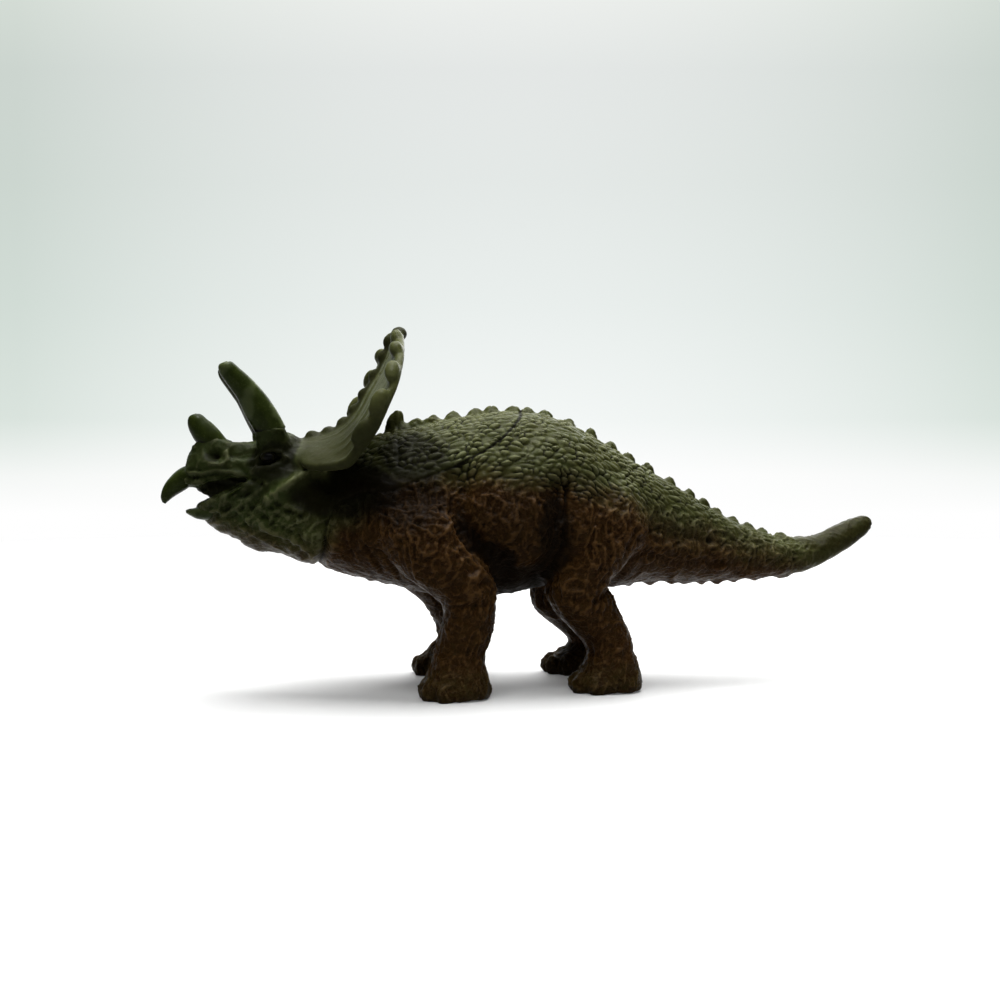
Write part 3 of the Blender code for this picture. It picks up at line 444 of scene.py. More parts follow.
# Swellings and hollows of the near side, mirrored: piece, place, height, half
# length, half height and rise in millimetres
BODY_SWELLINGS = (
    ("head", -64.3, 47.5, 1.35, 1.00, -1.70),
    ("head", -66.4, 46.0, 2.4, 1.5, 0.45),
    ("head", -44.9, 29.2, 1.9, 2.6, 0.85),
    ("head", -53.8, 46.6, 1.9, 1.1, -0.80),
    ("head", -52.5, 41.5, 3.0, 2.0, 0.45),
    ("head", -47.5, 38.0, 4.0, 4.5, -0.70),
    ("fore_leg", -16.0, 21.0, 2.2, 1.6, 0.60),
    ("fore_leg", -20.5, 33.0, 3.2, 6.0, 0.60),
    ("fore_leg", -27.0, 37.0, 3.0, 6.0, -0.40),
    ("hind_leg", 5.0, 17.0, 2.6, 2.2, 0.55),
    ("hind_leg", 7.5, 32.0, 3.4, 7.0, 0.60),
    ("hind_leg", 13.0, 37.0, 6.0, 5.0, 0.40),
    ("hind_leg", 14.2, 12.0, 1.6, 3.0, 0.25),
    ("torso", -8.0, 33.0, 5.0, 5.5, 0.50),
    ("torso", 39.0, 29.4, 1.4, 0.9, 0.40),
    ("torso", 42.6, 28.7, 1.4, 0.9, 0.45),
    ("torso", 45.9, 28.2, 1.3, 0.9, 0.50),
    ("torso", 49.2, 28.2, 1.3, 0.9, 0.50),
    ("torso", 52.4, 28.2, 1.2, 0.9, 0.50),
    ("torso", 55.6, 28.7, 1.2, 0.9, 0.45),
    ("torso", 58.8, 29.3, 1.2, 0.9, 0.40),
)

# Painted shade of the near side, mirrored to the far one: dark patches under the frill, round the eye and cheek,
# over the face and in the hollows between the legs and the belly, with a darker tone on the tail and the frill.
# Columns: the pieces they lie on, place and height of the middle, half length and half height in millimetres, share
PAINTED_SHADE_ZONES = (
    ("head torso", -40.0, 40.8, 12.0, 6.2, 1.00),
    ("head torso", -26.5, 46.5, 7.0, 5.5, 0.85),
    ("head", -34.0, 36.5, 6.5, 5.5, 0.85),
    ("head", -52.4, 46.0, 6.0, 4.6, 0.94),
    ("head", -58.0, 40.6, 4.5, 2.0, 0.75),
    ("head", -57.0, 45.0, 17.0, 9.0, 0.52),
    ("head torso fore_leg", -29.0, 38.5, 9.0, 5.0, 0.75),
    ("head", -48.2, 48.9, 3.2, 2.6, 0.85),
    ("head", -65.0, 46.9, 1.7, 1.4, 0.85),
    ("torso", 66.0, 33.0, 11.0, 7.0, 0.45),
    ("torso", 36.0, 34.0, 18.0, 9.0, 0.24),
    ("torso", 0.5, 29.0, 4.0, 12.0, 0.95),
    ("torso", -13.0, 26.0, 6.5, 5.0, 1.00),
    ("torso", -7.0, 21.5, 13.0, 4.2, 1.00),
    ("torso", -8.0, 31.0, 12.0, 9.0, 0.40),
    ("torso", -36.0, 33.0, 5.0, 5.0, 0.35),
    ("frill", -42.0, 47.0, 15.0, 8.5, 0.62),
)

# Small nubs under the tail and under the chest, and their rise
UNDER_NUBS = ((20.8, 0.6), (25.3, 0.9), (30.1, 1.1), (32.9, 0.8), (36.5, 1.0), (40.0, 0.9), (44.0, 0.9), (48.5, 0.6), (54.2, 0.8), (55.8, 0.7), (-33.6, 0.6), (-30.2, 0.5))

# Soft petals round the frill's rim on each side: height share, side share,
# length, width and thickness in millimetres, and how far they stand forward
FRILL_PETALS = (
    (0.455, 0.975, 6.6, 3.3, 3.8, 1.55),
    (0.600, 0.990, 6.2, 2.9, 3.5, 1.45),
    (0.738, 0.995, 5.6, 2.6, 3.0, 1.20),
    (0.845, 0.950, 4.2, 2.9, 2.8, 1.00),
    (0.940, 0.660, 4.0, 3.1, 2.5, 0.75),
)

# Rolled rim and folds of the frill: side share and height share at both ends,
# radius and how far they stand forward, in millimetres
FRILL_ROLLS = (
    (0.965, 0.955, 0.19, 0.50, 1.05, 0.30),
    (0.55, 0.92, 0.15, 0.165, 0.80, 0.30),
    (0.30, 0.34, 0.20, 0.90, 0.55, 1.25),
    (0.62, 0.60, 0.24, 0.62, 0.55, 1.05),
    (0.45, 0.50, 0.20, 0.75, 0.35, 1.15),
    (0.78, 0.72, 0.26, 0.50, 0.40, 1.05),
    (0.06, 0.04, 0.12, 0.95, 1.00, 0.95),
)
ROLL_BALLS = 30

# Pieces cut from the one skin, in the order of their numbers
SKIN_PIECES = ("torso", "head", "frill", "fore_leg_left", "fore_leg_right", "hind_leg_left", "hind_leg_right")


class ToySizes(PropertyGroup):
    """Sizes of the skin and colours of the paint."""

    skin_grain: FloatProperty(
        name="Skin grain", description="Edge of the small faces that carry the skin's relief",
        default=0.00032, min=0.0002, max=0.001, precision=5, unit="LENGTH", subtype="DISTANCE",
    )
    scale_length: FloatProperty(
        name="Scale length", description="Length of a scale along the back",
        default=0.00200, min=0.001, max=0.006, precision=5, unit="LENGTH", subtype="DISTANCE",
    )
    scale_width: FloatProperty(
        name="Scale width", description="Distance between two rows of scales",
        default=0.00128, min=0.0006, max=0.004, precision=5, unit="LENGTH", subtype="DISTANCE",
    )
    scale_height: FloatProperty(
        name="Scale height", description="How far a scale stands out of its groove",
        default=0.00056, min=0.0, max=0.001, precision=5, unit="LENGTH", subtype="DISTANCE",
    )
    wrinkle_depth: FloatProperty(
        name="Wrinkle depth", description="Depth of the fine wrinkles of flanks and legs",
        default=0.00042, min=0.0, max=0.001, precision=5, unit="LENGTH", subtype="DISTANCE",
    )
    seam_depth: FloatProperty(
        name="Seam depth", description="Depth of the line where head and torso meet",
        default=0.00028, min=0.0, max=0.001, precision=5, unit="LENGTH", subtype="DISTANCE",
    )
    green: FloatVectorProperty(
        name="Green", description="Paint sprayed on from above", subtype="COLOR", size=4,
        default=(0.064, 0.068, 0.018, 1), min=0, max=1,
    )
    brown: FloatVectorProperty(
        name="Brown", description="Brown of the flanks and legs", subtype="COLOR", size=4,
        default=(0.037, 0.0145, 0.0032, 1), min=0, max=1,
    )
    # Colour of the painted shade in grooves, creases and hollows, in the mouth, under the frill and round the eye, and
    # of the dark seam line
    shade: FloatVectorProperty(
        name="Shade", description="Dark wash that lies in grooves", subtype="COLOR", size=4,
        default=(0.0028, 0.0018, 0.0007, 1), min=0, max=1,
    )
    # Paler colour on the tops of scales, wrinkles and the frill: partly scuffed paint, partly painted highlight
    scuffed_and_highlight: FloatVectorProperty(
        name="Rubbed", description="Paler tone on the tops of scales and folds", subtype="COLOR", size=4,
        default=(0.185, 0.195, 0.090, 1), min=0, max=1,
    )
    horn_green: FloatVectorProperty(
        name="Horn green", description="Glossy green of horns and beak", subtype="COLOR", size=4,
        default=(0.031, 0.043, 0.008, 1), min=0, max=1,
    )


# Forms

def trunk_point(place_share, height_share):
    """A point on the midline, from the throat back and up from the belly line."""
    beak_tip = UPPER_BEAK_PLACE_SHARES[0] * HEAD_LENGTH + BEAK_OVERHANG_SHARE * UPPER_BEAK_LENGTH
    ahead = beak_tip - HEAD_PLACE_SHARE * TRUNK_LENGTH
    start = (ahead - TRUNK_LENGTH) / 2
    return Vector((start + place_share * TRUNK_LENGTH, 0, BELLY_CLEARANCE + height_share * BODY_DEPTH))


def head_point(place_share, height_share):
    """A point on the midline, from the back of the cheeks forward."""
    base = trunk_point(HEAD_PLACE_SHARE, HEAD_LIFT_SHARE)
    return base + Vector((-place_share * HEAD_LENGTH, 0, height_share * HEAD_DEPTH))


def smooth_rows(rows, steps=RING_STEPS):
    """Rows of numbers on a smooth curve through the given rows."""
    result = []
    last = len(rows) - 1
    for index in range(last):
        group = (rows[max(index - 1, 0)], rows[index], rows[index + 1], rows[min(index + 2, last)])
        for step in range(steps):
            t = step / steps
            row = []
            for a, b, c, d in zip(*group):
                slope = (c - a) / 2
                bend = a - 2.5 * b + 2 * c - d / 2
                twist = (d - a) / 2 + 1.5 * (b - c)
                row.append(b + slope * t + bend * t * t + twist * t * t * t)
            result.append(row)
    result.append(list(rows[-1]))
    return result


def section(center, tilt, half_long, half_wide, points, narrowing_share=0, power=SQUARE_POWER):
    """One closed ring, its long side in the XZ plane at the given tilt."""
    ring = []
    for index in range(points):
        angle = 2 * math.pi * index / points
        long_share = math.copysign(abs(math.cos(angle)) ** power, math.cos(angle))
        wide_share = math.copysign(abs(math.sin(angle)) ** power, math.sin(angle))
        along = half_long * long_share
        across = half_wide * wide_share * (1 - narrowing_share * long_share)
        ring.append(center + Vector((along * math.cos(tilt), across, along * math.sin(tilt))))
    return ring


def link_mesh(name, mesh, turn_out=True):
    """Turn a bmesh into a linked object."""
    if turn_out:
        bmesh.ops.recalc_face_normals(mesh, faces=mesh.faces)
    data = bpy.data.meshes.new(name)
    mesh.to_mesh(data)
    mesh.free()
    item = bpy.data.objects.new(name, data)
    bpy.context.scene.collection.objects.link(item)
    return item


def loft(name, rings):
    """A closed skin over a row of rings, with both ends filled."""
    mesh = bmesh.new()
    loops = []
    for ring in rings:
        verts = [mesh.verts.new(point) for point in ring]
        loops.append([mesh.edges.new((verts[index - 1], verts[index])) for index in range(len(verts))])
    for first, second in zip(loops, loops[1:]):
        bmesh.ops.bridge_loops(mesh, edges=first + second)
    bmesh.ops.holes_fill(mesh, edges=loops[0] + loops[-1], sides=0)
    return link_mesh(name, mesh)


def balls(name, places):
    """A group of ellipsoids; each place is a center, lengths along its axes and a turn."""
    ball = bmesh.new()
    bmesh.ops.create_uvsphere(ball, u_segments=BALL_SEGMENTS, v_segments=BALL_RINGS, radius=1)
    mesh = bmesh.new()
    for center, sizes, turn in places:
        data = bpy.data.meshes.new(name)
        ball.to_mesh(data)
        data.transform(Matrix.Translation(center) @ turn @ Matrix.Diagonal((*(Vector(sizes) / 2), 1)))
        mesh.from_mesh(data)
        bpy.data.meshes.remove(data)
    ball.free()
    return link_mesh(name, mesh, turn_out=False)


def bake(item):
    """Replace an object's mesh by what its modifiers make of it."""
    depsgraph = bpy.context.evaluated_depsgraph_get()
    data = bpy.data.meshes.new_from_object(item.evaluated_get(depsgraph))
    item.modifiers.clear()
    item.data = data


def cut(target, tool):
    """Cut the tool's form out of the target and remove the tool."""
    modifier = target.modifiers.new("Cut", "BOOLEAN")
    modifier.operation = "DIFFERENCE"
    modifier.solver = "EXACT"
    modifier.object = tool
    bake(target)
    bpy.data.objects.remove(tool, do_unlink=True)


def remesh(item, grain):
    """Melt an object's overlapping forms into one skin of small even faces."""
    modifier = item.modifiers.new("Melt", "REMESH")
    modifier.mode = "VOXEL"
    modifier.voxel_size = grain
    bake(item)


def trunk_form():
    """Neck, body and tail as one loft."""
    rings = []
    for place, top, bottom, width in smooth_rows(TRUNK_SHARES):
        center = trunk_point(place, (top + bottom) / 2)
        half_high = (top - bottom) / 2 * BODY_DEPTH
        half_wide = width * BODY_WIDTH / 2
        rings.append(section(center, math.pi / 2, half_high, half_wide, BODY_POINTS, BACK_NARROWING_SHARE))
    return loft("trunk_form", rings)


def head_form():
    """Skull, cheeks, muzzle and jaw as one loft, with the gape cut into it."""
    rings = []
    for place, top, bottom, width in smooth_rows(HEAD_SHARES):
        center = head_point(place, (top + bottom) / 2)
        half_high = (top - bottom) / 2 * HEAD_DEPTH
        half_wide = width * HEAD_WIDTH / 2
        rings.append(section(center, math.pi / 2, half_high, half_wide, BODY_POINTS, HEAD_NARROWING_SHARE))
    form = loft("head_form", rings)
    mesh = bmesh.new()
    side = Vector((0, HEAD_WIDTH, 0))
    outline = [head_point(*row) for row in MOUTH_SHARES]
    face = mesh.faces.new([mesh.verts.new(point - side) for point in outline])
    grown = bmesh.ops.extrude_face_region(mesh, geom=[face])["geom"]
    bmesh.ops.translate(mesh, verts=[item for item in grown if isinstance(item, bmesh.types.BMVert)], vec=2 * side)
    cut(form, link_mesh("gape", mesh))
    return form


def mouth_lining():
    """The inside of the mouth, from the corner to behind the beaks, which the skin paints all as shade."""
    upper = sorted((place, height) for place, height in MOUTH_SHARES[:5])
    lower = sorted((place, height) for place, height in MOUTH_SHARES[5:])
    widths = sorted((row[0], row[3]) for row in HEAD_SHARES)
    rings = []
    for place in (0.60, 0.66, 0.72, 0.78, 0.83, 0.868, 0.90, 0.925):
        top = np.interp(place, *zip(*upper)) + 0.05
        bottom = np.interp(place, *zip(*lower)) - 0.05
        half_wide = np.interp(place, *zip(*widths)) * HEAD_WIDTH * LINING_SHARE / 2
        half_high = (top - bottom) / 2 * HEAD_DEPTH
        rings.append(section(head_point(place, (top + bottom) / 2), math.pi / 2, half_high, half_wide, HORN_POINTS))
    lining = loft("mouth_lining", rings)
    center = head_point(*NOTCH_PLACE_SHARES)
    cut(lining, balls("notch", [(center, NOTCH_SIZES, Matrix.Identity(4))]))
    return lining


def back_height_share(place):
    """Height of the back at a place along the trunk."""
    for near, far in zip(TRUNK_SHARES, TRUNK_SHARES[1:]):
        if near[0] <= place <= far[0]:
            part = (place - near[0]) / (far[0] - near[0])
            return near[1] + part * (far[1] - near[1])
    return TRUNK_SHARES[-1][1]


def scute_form():
    """The row of scutes along the back: a tall tongue on the nape, then blunt cones."""
    places = []
    nape = trunk_point(NAPE_SCUTE_PLACE_SHARE, back_height_share(NAPE_SCUTE_PLACE_SHARE))
    lean = Matrix.Rotation(math.radians(10), 4, "Y")
    places.append((nape, (SCUTE_LENGTH * 1.2, SCUTE_WIDTH * 1.3, 2 * NAPE_SCUTE_HEIGHT), lean))
    last = len(SCUTE_PLACE_SHARES) - 1
    lean = Matrix.Rotation(math.radians(8), 4, "Y")
    for index, place in enumerate(SCUTE_PLACE_SHARES):
        center = trunk_point(place, back_height_share(place))
        shrink = 1 - SCUTE_SHRINK_SHARE * index / last
        tall = SCUTE_CONE_SHARE if 10 <= index <= 16 else SCUTE_DOME_SHARE
        length = SCUTE_LENGTH * shrink * 1.22
        width = SCUTE_WIDTH * shrink * 1.5
        height = 2 * SCUTE_HEIGHT * shrink * tall
        places.append((center, (length, width, height * 0.74), lean))
        places.append((center, (length * 0.72, width * 0.85, height * 0.98), lean))
    return balls("scutes", places)


def brow_horn_base(side):
    """Middle of a brow horn's base."""
    return head_point(*BROW_HORN_PLACE_SHARES) + Vector((0, side * BROW_HORN_SPREAD / 2, 0))


def brow_boss(side):
    """The collar of skin that a brow horn stands on, wider at its root."""
    half_spread = side * BROW_HORN_SPREAD / 2 * BROW_BOSS_SPREAD_SHARE
    root = head_point(*BROW_BOSS_ROOT_SHARES) + Vector((0, half_spread, 0))
    top = brow_horn_base(side)
    radius = BROW_HORN_WIDTH / 2 + BROW_BOSS_RIM
    rings = []
    for share, growth in ((0, 1.25), (0.3, 1.12), (0.6, 1.02), (0.85, 0.98), (1, 0.98)):
        center = root.lerp(top, share)
        rings.append(section(center, HORN_BASE_TILT, radius * growth, radius * growth, HORN_POINTS, 0, ROUND_POWER))
    return loft("brow_boss", rings)


def frill_grid(row, share):
    """A point of the frill's middle surface on one section, share 0 at the midline."""
    mid_place, mid_height, side_place, side_height, width, _ = row
    bend = abs(share) ** FRILL_BEND_POWER
    place = mid_place + (side_place - mid_place) * bend
    height = mid_height + (side_height - mid_height) * bend
    root = head_point(*FRILL_PLACE_SHARES)
    return root + Vector((place * FRILL_REACH, share * width * FRILL_WIDTH / 2, height * FRILL_RISE))


def frill_frame(rows, index, share):
    """A point on the frill with its forward normal and its upward direction."""
    ahead = rows[min(index + 1, len(rows) - 1)]
    behind = rows[max(index - 1, 0)]
    step = 1 / FRILL_POINTS
    upward = (frill_grid(ahead, share) - frill_grid(behind, share)).normalized()
    sideways = frill_grid(rows[index], share + step) - frill_grid(rows[index], share - step)
    return frill_grid(rows[index], share), upward.cross(sideways).normalized(), upward


def frill_form(rows):
    """The frill's curved plate, lofted from its root up."""
    shares = [2 * step / (FRILL_POINTS - 1) - 1 for step in range(FRILL_POINTS)]
    rings = []
    for index, row in enumerate(rows):
        front = []
        back = []
        for share in shares:
            point, normal, _ = frill_frame(rows, index, share)
            thinning = 1 - (1 - FRILL_EDGE_SHARE) * share ** 4
            half = row[-1] * FRILL_THICKNESS / 2 * thinning
            front.append(point + normal * half)
            back.append(point - normal * half)
        rings.append(front + back[::-1])
    return loft("frill_form", rings)


def frill_place(rows, height_share, share, rise, sizes):
    """Center, sizes and turn of a lump whose length runs up the frill."""
    exact = height_share * (len(rows) - 1)
    index = min(int(exact), len(rows) - 2)
    point, normal, upward = frill_frame(rows, index, share)
    ahead, _, _ = frill_frame(rows, index + 1, share)
    point = point.lerp(ahead, exact - index)
    turn = Vector((0, 0, 1)).rotation_difference(upward).to_matrix().to_4x4()
    return point + normal * rise, sizes, turn


def frill_lumps(rows):
    """Petals round the frill's rim and a row of bumps along its midline."""
    ridge_sizes = (RIDGE_BUMP_HEIGHT * 1.2, RIDGE_BUMP_WIDTH * 1.1, RIDGE_BUMP_LENGTH * 0.95)
    places = [frill_place(rows, share, 0, RIDGE_RISE * 1.3, ridge_sizes) for share in RIDGE_BUMP_SHARES]
    top = (RIM_LUMP_LENGTH, RIM_LUMP_WIDTH * 1.1, RIM_LUMP_WIDTH)
    places.append((frill_grid(rows[-1], 0), top, Matrix.Rotation(math.pi / 2, 4, "Z")))
    for height, share, length, width, thickness, rise in FRILL_PETALS:
        for side in (-1, 1):
            sizes = (thickness * MM, width * MM, length * MM)
            places.append(frill_place(rows, height, side * share, rise * MM, sizes))
    return balls("frill_lumps", places)


def frill_rolls(rows):
    """The rolled rim and the long folds of the frill, as close rows of small balls."""
    places = []
    for start_share, end_share, start_height, end_height, radius, rise in FRILL_ROLLS:
        for step in range(ROLL_BALLS):
            part = step / (ROLL_BALLS - 1)
            taper = 0.55 + 0.45 * math.sin(math.pi * min(max(part, 0.08), 0.92))
            share = start_share + (end_share - start_share) * part
            height = start_height + (end_height - start_height) * part
            size = 2 * radius * taper * MM
            for side in (-1, 1):
                places.append(frill_place(rows, height, side * share, rise * MM, (size, size, size)))
    return balls("frill_rolls", places)


def fore_sizes():
    """Root, half depth, half thickness, reach and half stance of the fore legs."""
    root = trunk_point(SHOULDER_PLACE_SHARE, SHOULDER_HEIGHT_SHARE)
    return root, FORE_LEG_DEPTH / 2, FORE_LEG_THICKNESS / 2, FORE_LEG_REACH, FORE_STANCE / 2


def hind_sizes():
    """Root, half depth, half thickness, reach and half stance of the hind legs."""
    root = trunk_point(HIP_PLACE_SHARE, HIP_HEIGHT_SHARE)
    return root, HIND_LEG_DEPTH / 2, HIND_LEG_THICKNESS / 2, HIND_LEG_REACH, HIND_STANCE / 2


def leg_form(name, sizes, side, rows):
    """A leg lofted from its root inside the torso to its sole."""
    root, half_depth, half_thick, reach, half_stance = sizes
    rings = []
    for swing, height, depth, thickness, spread, tilt in smooth_rows(rows):
        center = Vector((root.x + swing * reach, side * spread * half_stance, height * root.z))
        half_deep = depth * half_depth
        half_wide = thickness * half_thick
        rings.append(section(center, math.radians(tilt), half_deep, half_wide, LEG_POINTS))
    return loft(name, rings)


def toe_form(name, sizes, side, rows):
    """Blunt toes round the front of the foot."""
    root, half_depth, half_thick, reach, half_stance = sizes
    swing, _, depth, thickness, spread, _ = rows[-2]
    center = Vector((root.x + swing * reach, side * spread * half_stance, TOE_HEIGHT * TOE_LIFT_SHARE))
    forward = depth * half_depth * TOE_SETBACK_SHARE
    across = thickness * half_thick * TOE_SETBACK_SHARE
    places = []
    for angle in TOE_ANGLES:
        place = center + Vector((-math.cos(angle) * forward, math.sin(angle) * across, 0))
        places.append((place, (TOE_LENGTH, TOE_WIDTH, TOE_HEIGHT), Matrix.Rotation(-angle, 4, "Z")))
    return balls(name + "_toes", places)


def horn_form(name, base, rows, length, width, side):
    """A curved, tapered horn that starts just inside its collar."""
    radius = width / 2
    rings = []
    sunk = base + Vector((math.sin(HORN_BASE_TILT), 0, -math.cos(HORN_BASE_TILT))) * HORN_PEG_LENGTH
    rings.append(section(sunk, HORN_BASE_TILT, radius * HORN_PEG_SHARE, radius * HORN_PEG_SHARE, HORN_POINTS, 0, ROUND_POWER))
    places = smooth_rows(rows, 12)
    last = len(places) - 1
    for index, (forward, height, outward, thickness) in enumerate(places):
        center = base + Vector((-forward, side * outward, height)) * length
        ahead = places[min(index + 1, last)]
        behind = places[max(index - 1, 0)]
        lean = math.atan2(ahead[0] - behind[0], ahead[1] - behind[1])
        tilt = HORN_BASE_TILT + (lean - HORN_BASE_TILT) * height / places[last][1]
        half_deep = thickness * radius
        half_wide = half_deep * HORN_FLATTENING_SHARE
        rings.append(section(center, tilt, half_deep, half_wide, HORN_POINTS, 0, ROUND_POWER))
    return loft(name, rings)


def beak_form(name, root, rows, length, width, depth):
    """A beak piece lofted forward from its root, each section at its own tilt."""
    rings = []
    for place, height, width_share, depth_share, tilt in smooth_rows(rows, 12):
        center = root + Vector((-place, 0, height)) * length
        half_deep = depth_share * depth / 2
        half_wide = width_share * width / 2
        rings.append(section(center, math.radians(tilt), half_deep, half_wide, HORN_POINTS))
    return loft(name, rings)


# Relief

def read_vectors(collection, field):
    """All vectors of a mesh's collection as rows of three numbers."""
    values = np.empty(len(collection) * 3)
    collection.foreach_get(field, values)
    return values.reshape(-1, 3)


def write_points(data, points):
    """Move a mesh's points."""
    data.vertices.foreach_set("co", points.ravel())
    data.update()


def edge_ends(data):
    """The two ends of every edge, and how many edges meet at each point."""
    ends = np.empty(len(data.edges) * 2, dtype=np.int64)
    data.edges.foreach_get("vertices", ends)
    counts = np.bincount(ends, minlength=len(data.vertices))
    return ends.reshape(-1, 2), np.maximum(counts, 1)


def neighbour_mean(values, ends, counts):
    """Mean of each point's neighbours."""
    columns = []
    for column in values.reshape(len(values), -1).T:
        total = np.bincount(ends[:, 0], column[ends[:, 1]], len(counts))
        total += np.bincount(ends[:, 1], column[ends[:, 0]], len(counts))
        columns.append(total / counts)
    return np.stack(columns, 1).reshape(values.shape)


def even_out(values, ends, counts, steps, strength=0.5):
    """Values blurred along the skin; strength may differ from point to point."""
    for _ in range(steps):
        values = values + (neighbour_mean(values, ends, counts) - values) * strength
    return values


def chance(cells, seed):
    """A repeatable number from 0 to 1 for each whole-numbered place."""
    whole = cells.astype(np.int64)
    mixed = seed * 7919
    for column, prime in zip(whole.T, (73856093, 19349663, 83492791)):
        mixed = mixed ^ (column * prime)
    mixed = (mixed ^ (mixed >> 13)) * 1274126177
    mixed = mixed ^ (mixed >> 16)
    return (mixed & 0xFFFFFF) / 0xFFFFFF


def soft_noise(points, size, seed):
    """Smooth noise from -1 to 1 with lumps of the given size."""
    turned = points @ np.array(((0.80, 0.36, -0.48), (-0.60, 0.48, -0.64), (0.0, 0.80, 0.60)))
    scaled = turned / size
    low = np.floor(scaled)
    part = scaled - low
    part = part * part * (3 - 2 * part)
    total = np.zeros(len(points))
    for corner in itertools.product((0, 1), repeat=3):
        weight = np.prod(np.where(np.array(corner), part, 1 - part), axis=1)
        total += weight * chance(low + corner, seed)
    return 2 * total - 1


def rough_noise(points, size, seed):
    """Noise of three sizes, each half the last."""
    total = soft_noise(points, size, seed)
    total = total + soft_noise(points, size / 2, seed + 1) / 2
    return (total + soft_noise(points, size / 4, seed + 2) / 4) / 1.75


def pebbles(points, size, jitter, seed):
    """Distances to the nearest and the second nearest of a field of seeds, in sizes."""
    scaled = points / size
    low = np.floor(scaled)
    first = np.full(len(points), 9.0)
    second = np.full(len(points), 9.0)
    for corner in itertools.product((-1, 0, 1), repeat=3):
        cell = low + corner
        far = np.zeros(len(points))
        for axis in range(3):
            center = cell[:, axis] + 0.5 + jitter * (chance(cell, seed + axis) - 0.5)
            far += (scaled[:, axis] - center) ** 2
        far = np.sqrt(far)
        second = np.minimum(second, np.maximum(first, far))
        first = np.minimum(first, far)
    return first, second


def scale_rows(along, across, jitter, seed):
    """Heights of overlapping oval scales in offset rows."""
    row_here = np.floor(across)
    first = np.full(len(along), 9.0)
    second = np.full(len(along), 9.0)
    behind = np.zeros(len(along))
    tall = np.zeros(len(along))
    for step_across in (-1, 0, 1):
        row = row_here + step_across
        shift = 0.5 * (row % 2)
        column_here = np.floor(along - shift)
        for step_along in (-1, 0, 1):
            column = column_here + step_along
            cell = np.stack((column, row), 1)
            away = along - (column + shift + 0.5 + jitter * (chance(cell, seed) - 0.5))
            aside = across - (row + 0.5 + jitter * (chance(cell, seed + 1) - 0.5))
            far = np.sqrt(away ** 2 + aside ** 2)
            closer = far < first
            second = np.where(closer, first, np.minimum(second, far))
            first = np.where(closer, far, first)
            behind = np.where(closer, away, behind)
            tall = np.where(closer, chance(cell, seed + 2), tall)
    dome = np.clip(1 - (first / 0.66) ** 2, 0, 1) ** 0.65
    groove = ramp(second - first, 0.02, 0.30)
    lift = 1 + 0.45 * np.clip(behind, -0.5, 0.5)
    return dome * groove * lift * (0.75 + 0.5 * tall)


def ramp(values, start, end):
    """0 before start, 1 past end, and a smooth rise between."""
    part = np.clip((values - start) / (end - start), 0, 1)
    return part * part * (3 - 2 * part)


def thin_ridge(values, width):
    """One along the zeros of a noise, falling to nought at a width."""
    return ramp(width - np.abs(values), 0, width)


def line_distance(points, line):
    """Distance in the XZ plane to a line of points, all in millimetres."""
    best = np.full(len(points), 1e3)
    for (start_x, start_z), (end_x, end_z) in zip(line, line[1:]):
        step_x = end_x - start_x
        step_z = end_z - start_z
        part = ((points[:, 0] - start_x) * step_x + (points[:, 2] - start_z) * step_z) / (step_x ** 2 + step_z ** 2)
        part = np.clip(part, 0, 1)
        far = np.hypot(points[:, 0] - start_x - part * step_x, points[:, 2] - start_z - part * step_z)
        best = np.minimum(best, far)
    return best


def fold(far, depth, width, lip):
    """Height across a crease with raised lips, or across a raised fold."""
    return lip * np.exp(-((far - 2.1 * width) / width) ** 2) - depth * np.exp(-(far / width) ** 2)


def trunk_place(points):
    """Place along the trunk in scale lengths and distance down from the back line, in mm."""
    rows = np.array(smooth_rows(TRUNK_SHARES))
    start = trunk_point(0, 0)
    places = (start.x + rows[:, 0] * TRUNK_LENGTH) / MM
    top = (BELLY_CLEARANCE + rows[:, 1] * BODY_DEPTH) / MM
    bottom = (BELLY_CLEARANCE + rows[:, 2] * BODY_DEPTH) / MM
    half_wide = rows[:, 3] * BODY_WIDTH / 2 / MM
    here_top = np.interp(points[:, 0], places, top)
    here_bottom = np.interp(points[:, 0], places, bottom)
    here_wide = np.interp(points[:, 0], places, half_wide)
    half_high = (here_top - here_bottom) / 2
    middle = (here_top + here_bottom) / 2
    angle = np.arctan2(np.abs(points[:, 1]) / here_wide, (points[:, 2] - middle) / half_high)
    return angle * np.sqrt((half_high ** 2 + here_wide ** 2) / 2)


def seam_line():
    """The seam between head and torso as places and heights in millimetres."""
    line = [trunk_point(*row) / MM for row in SEAM_SHARES]
    return [(point.x, point.z) for point in line]


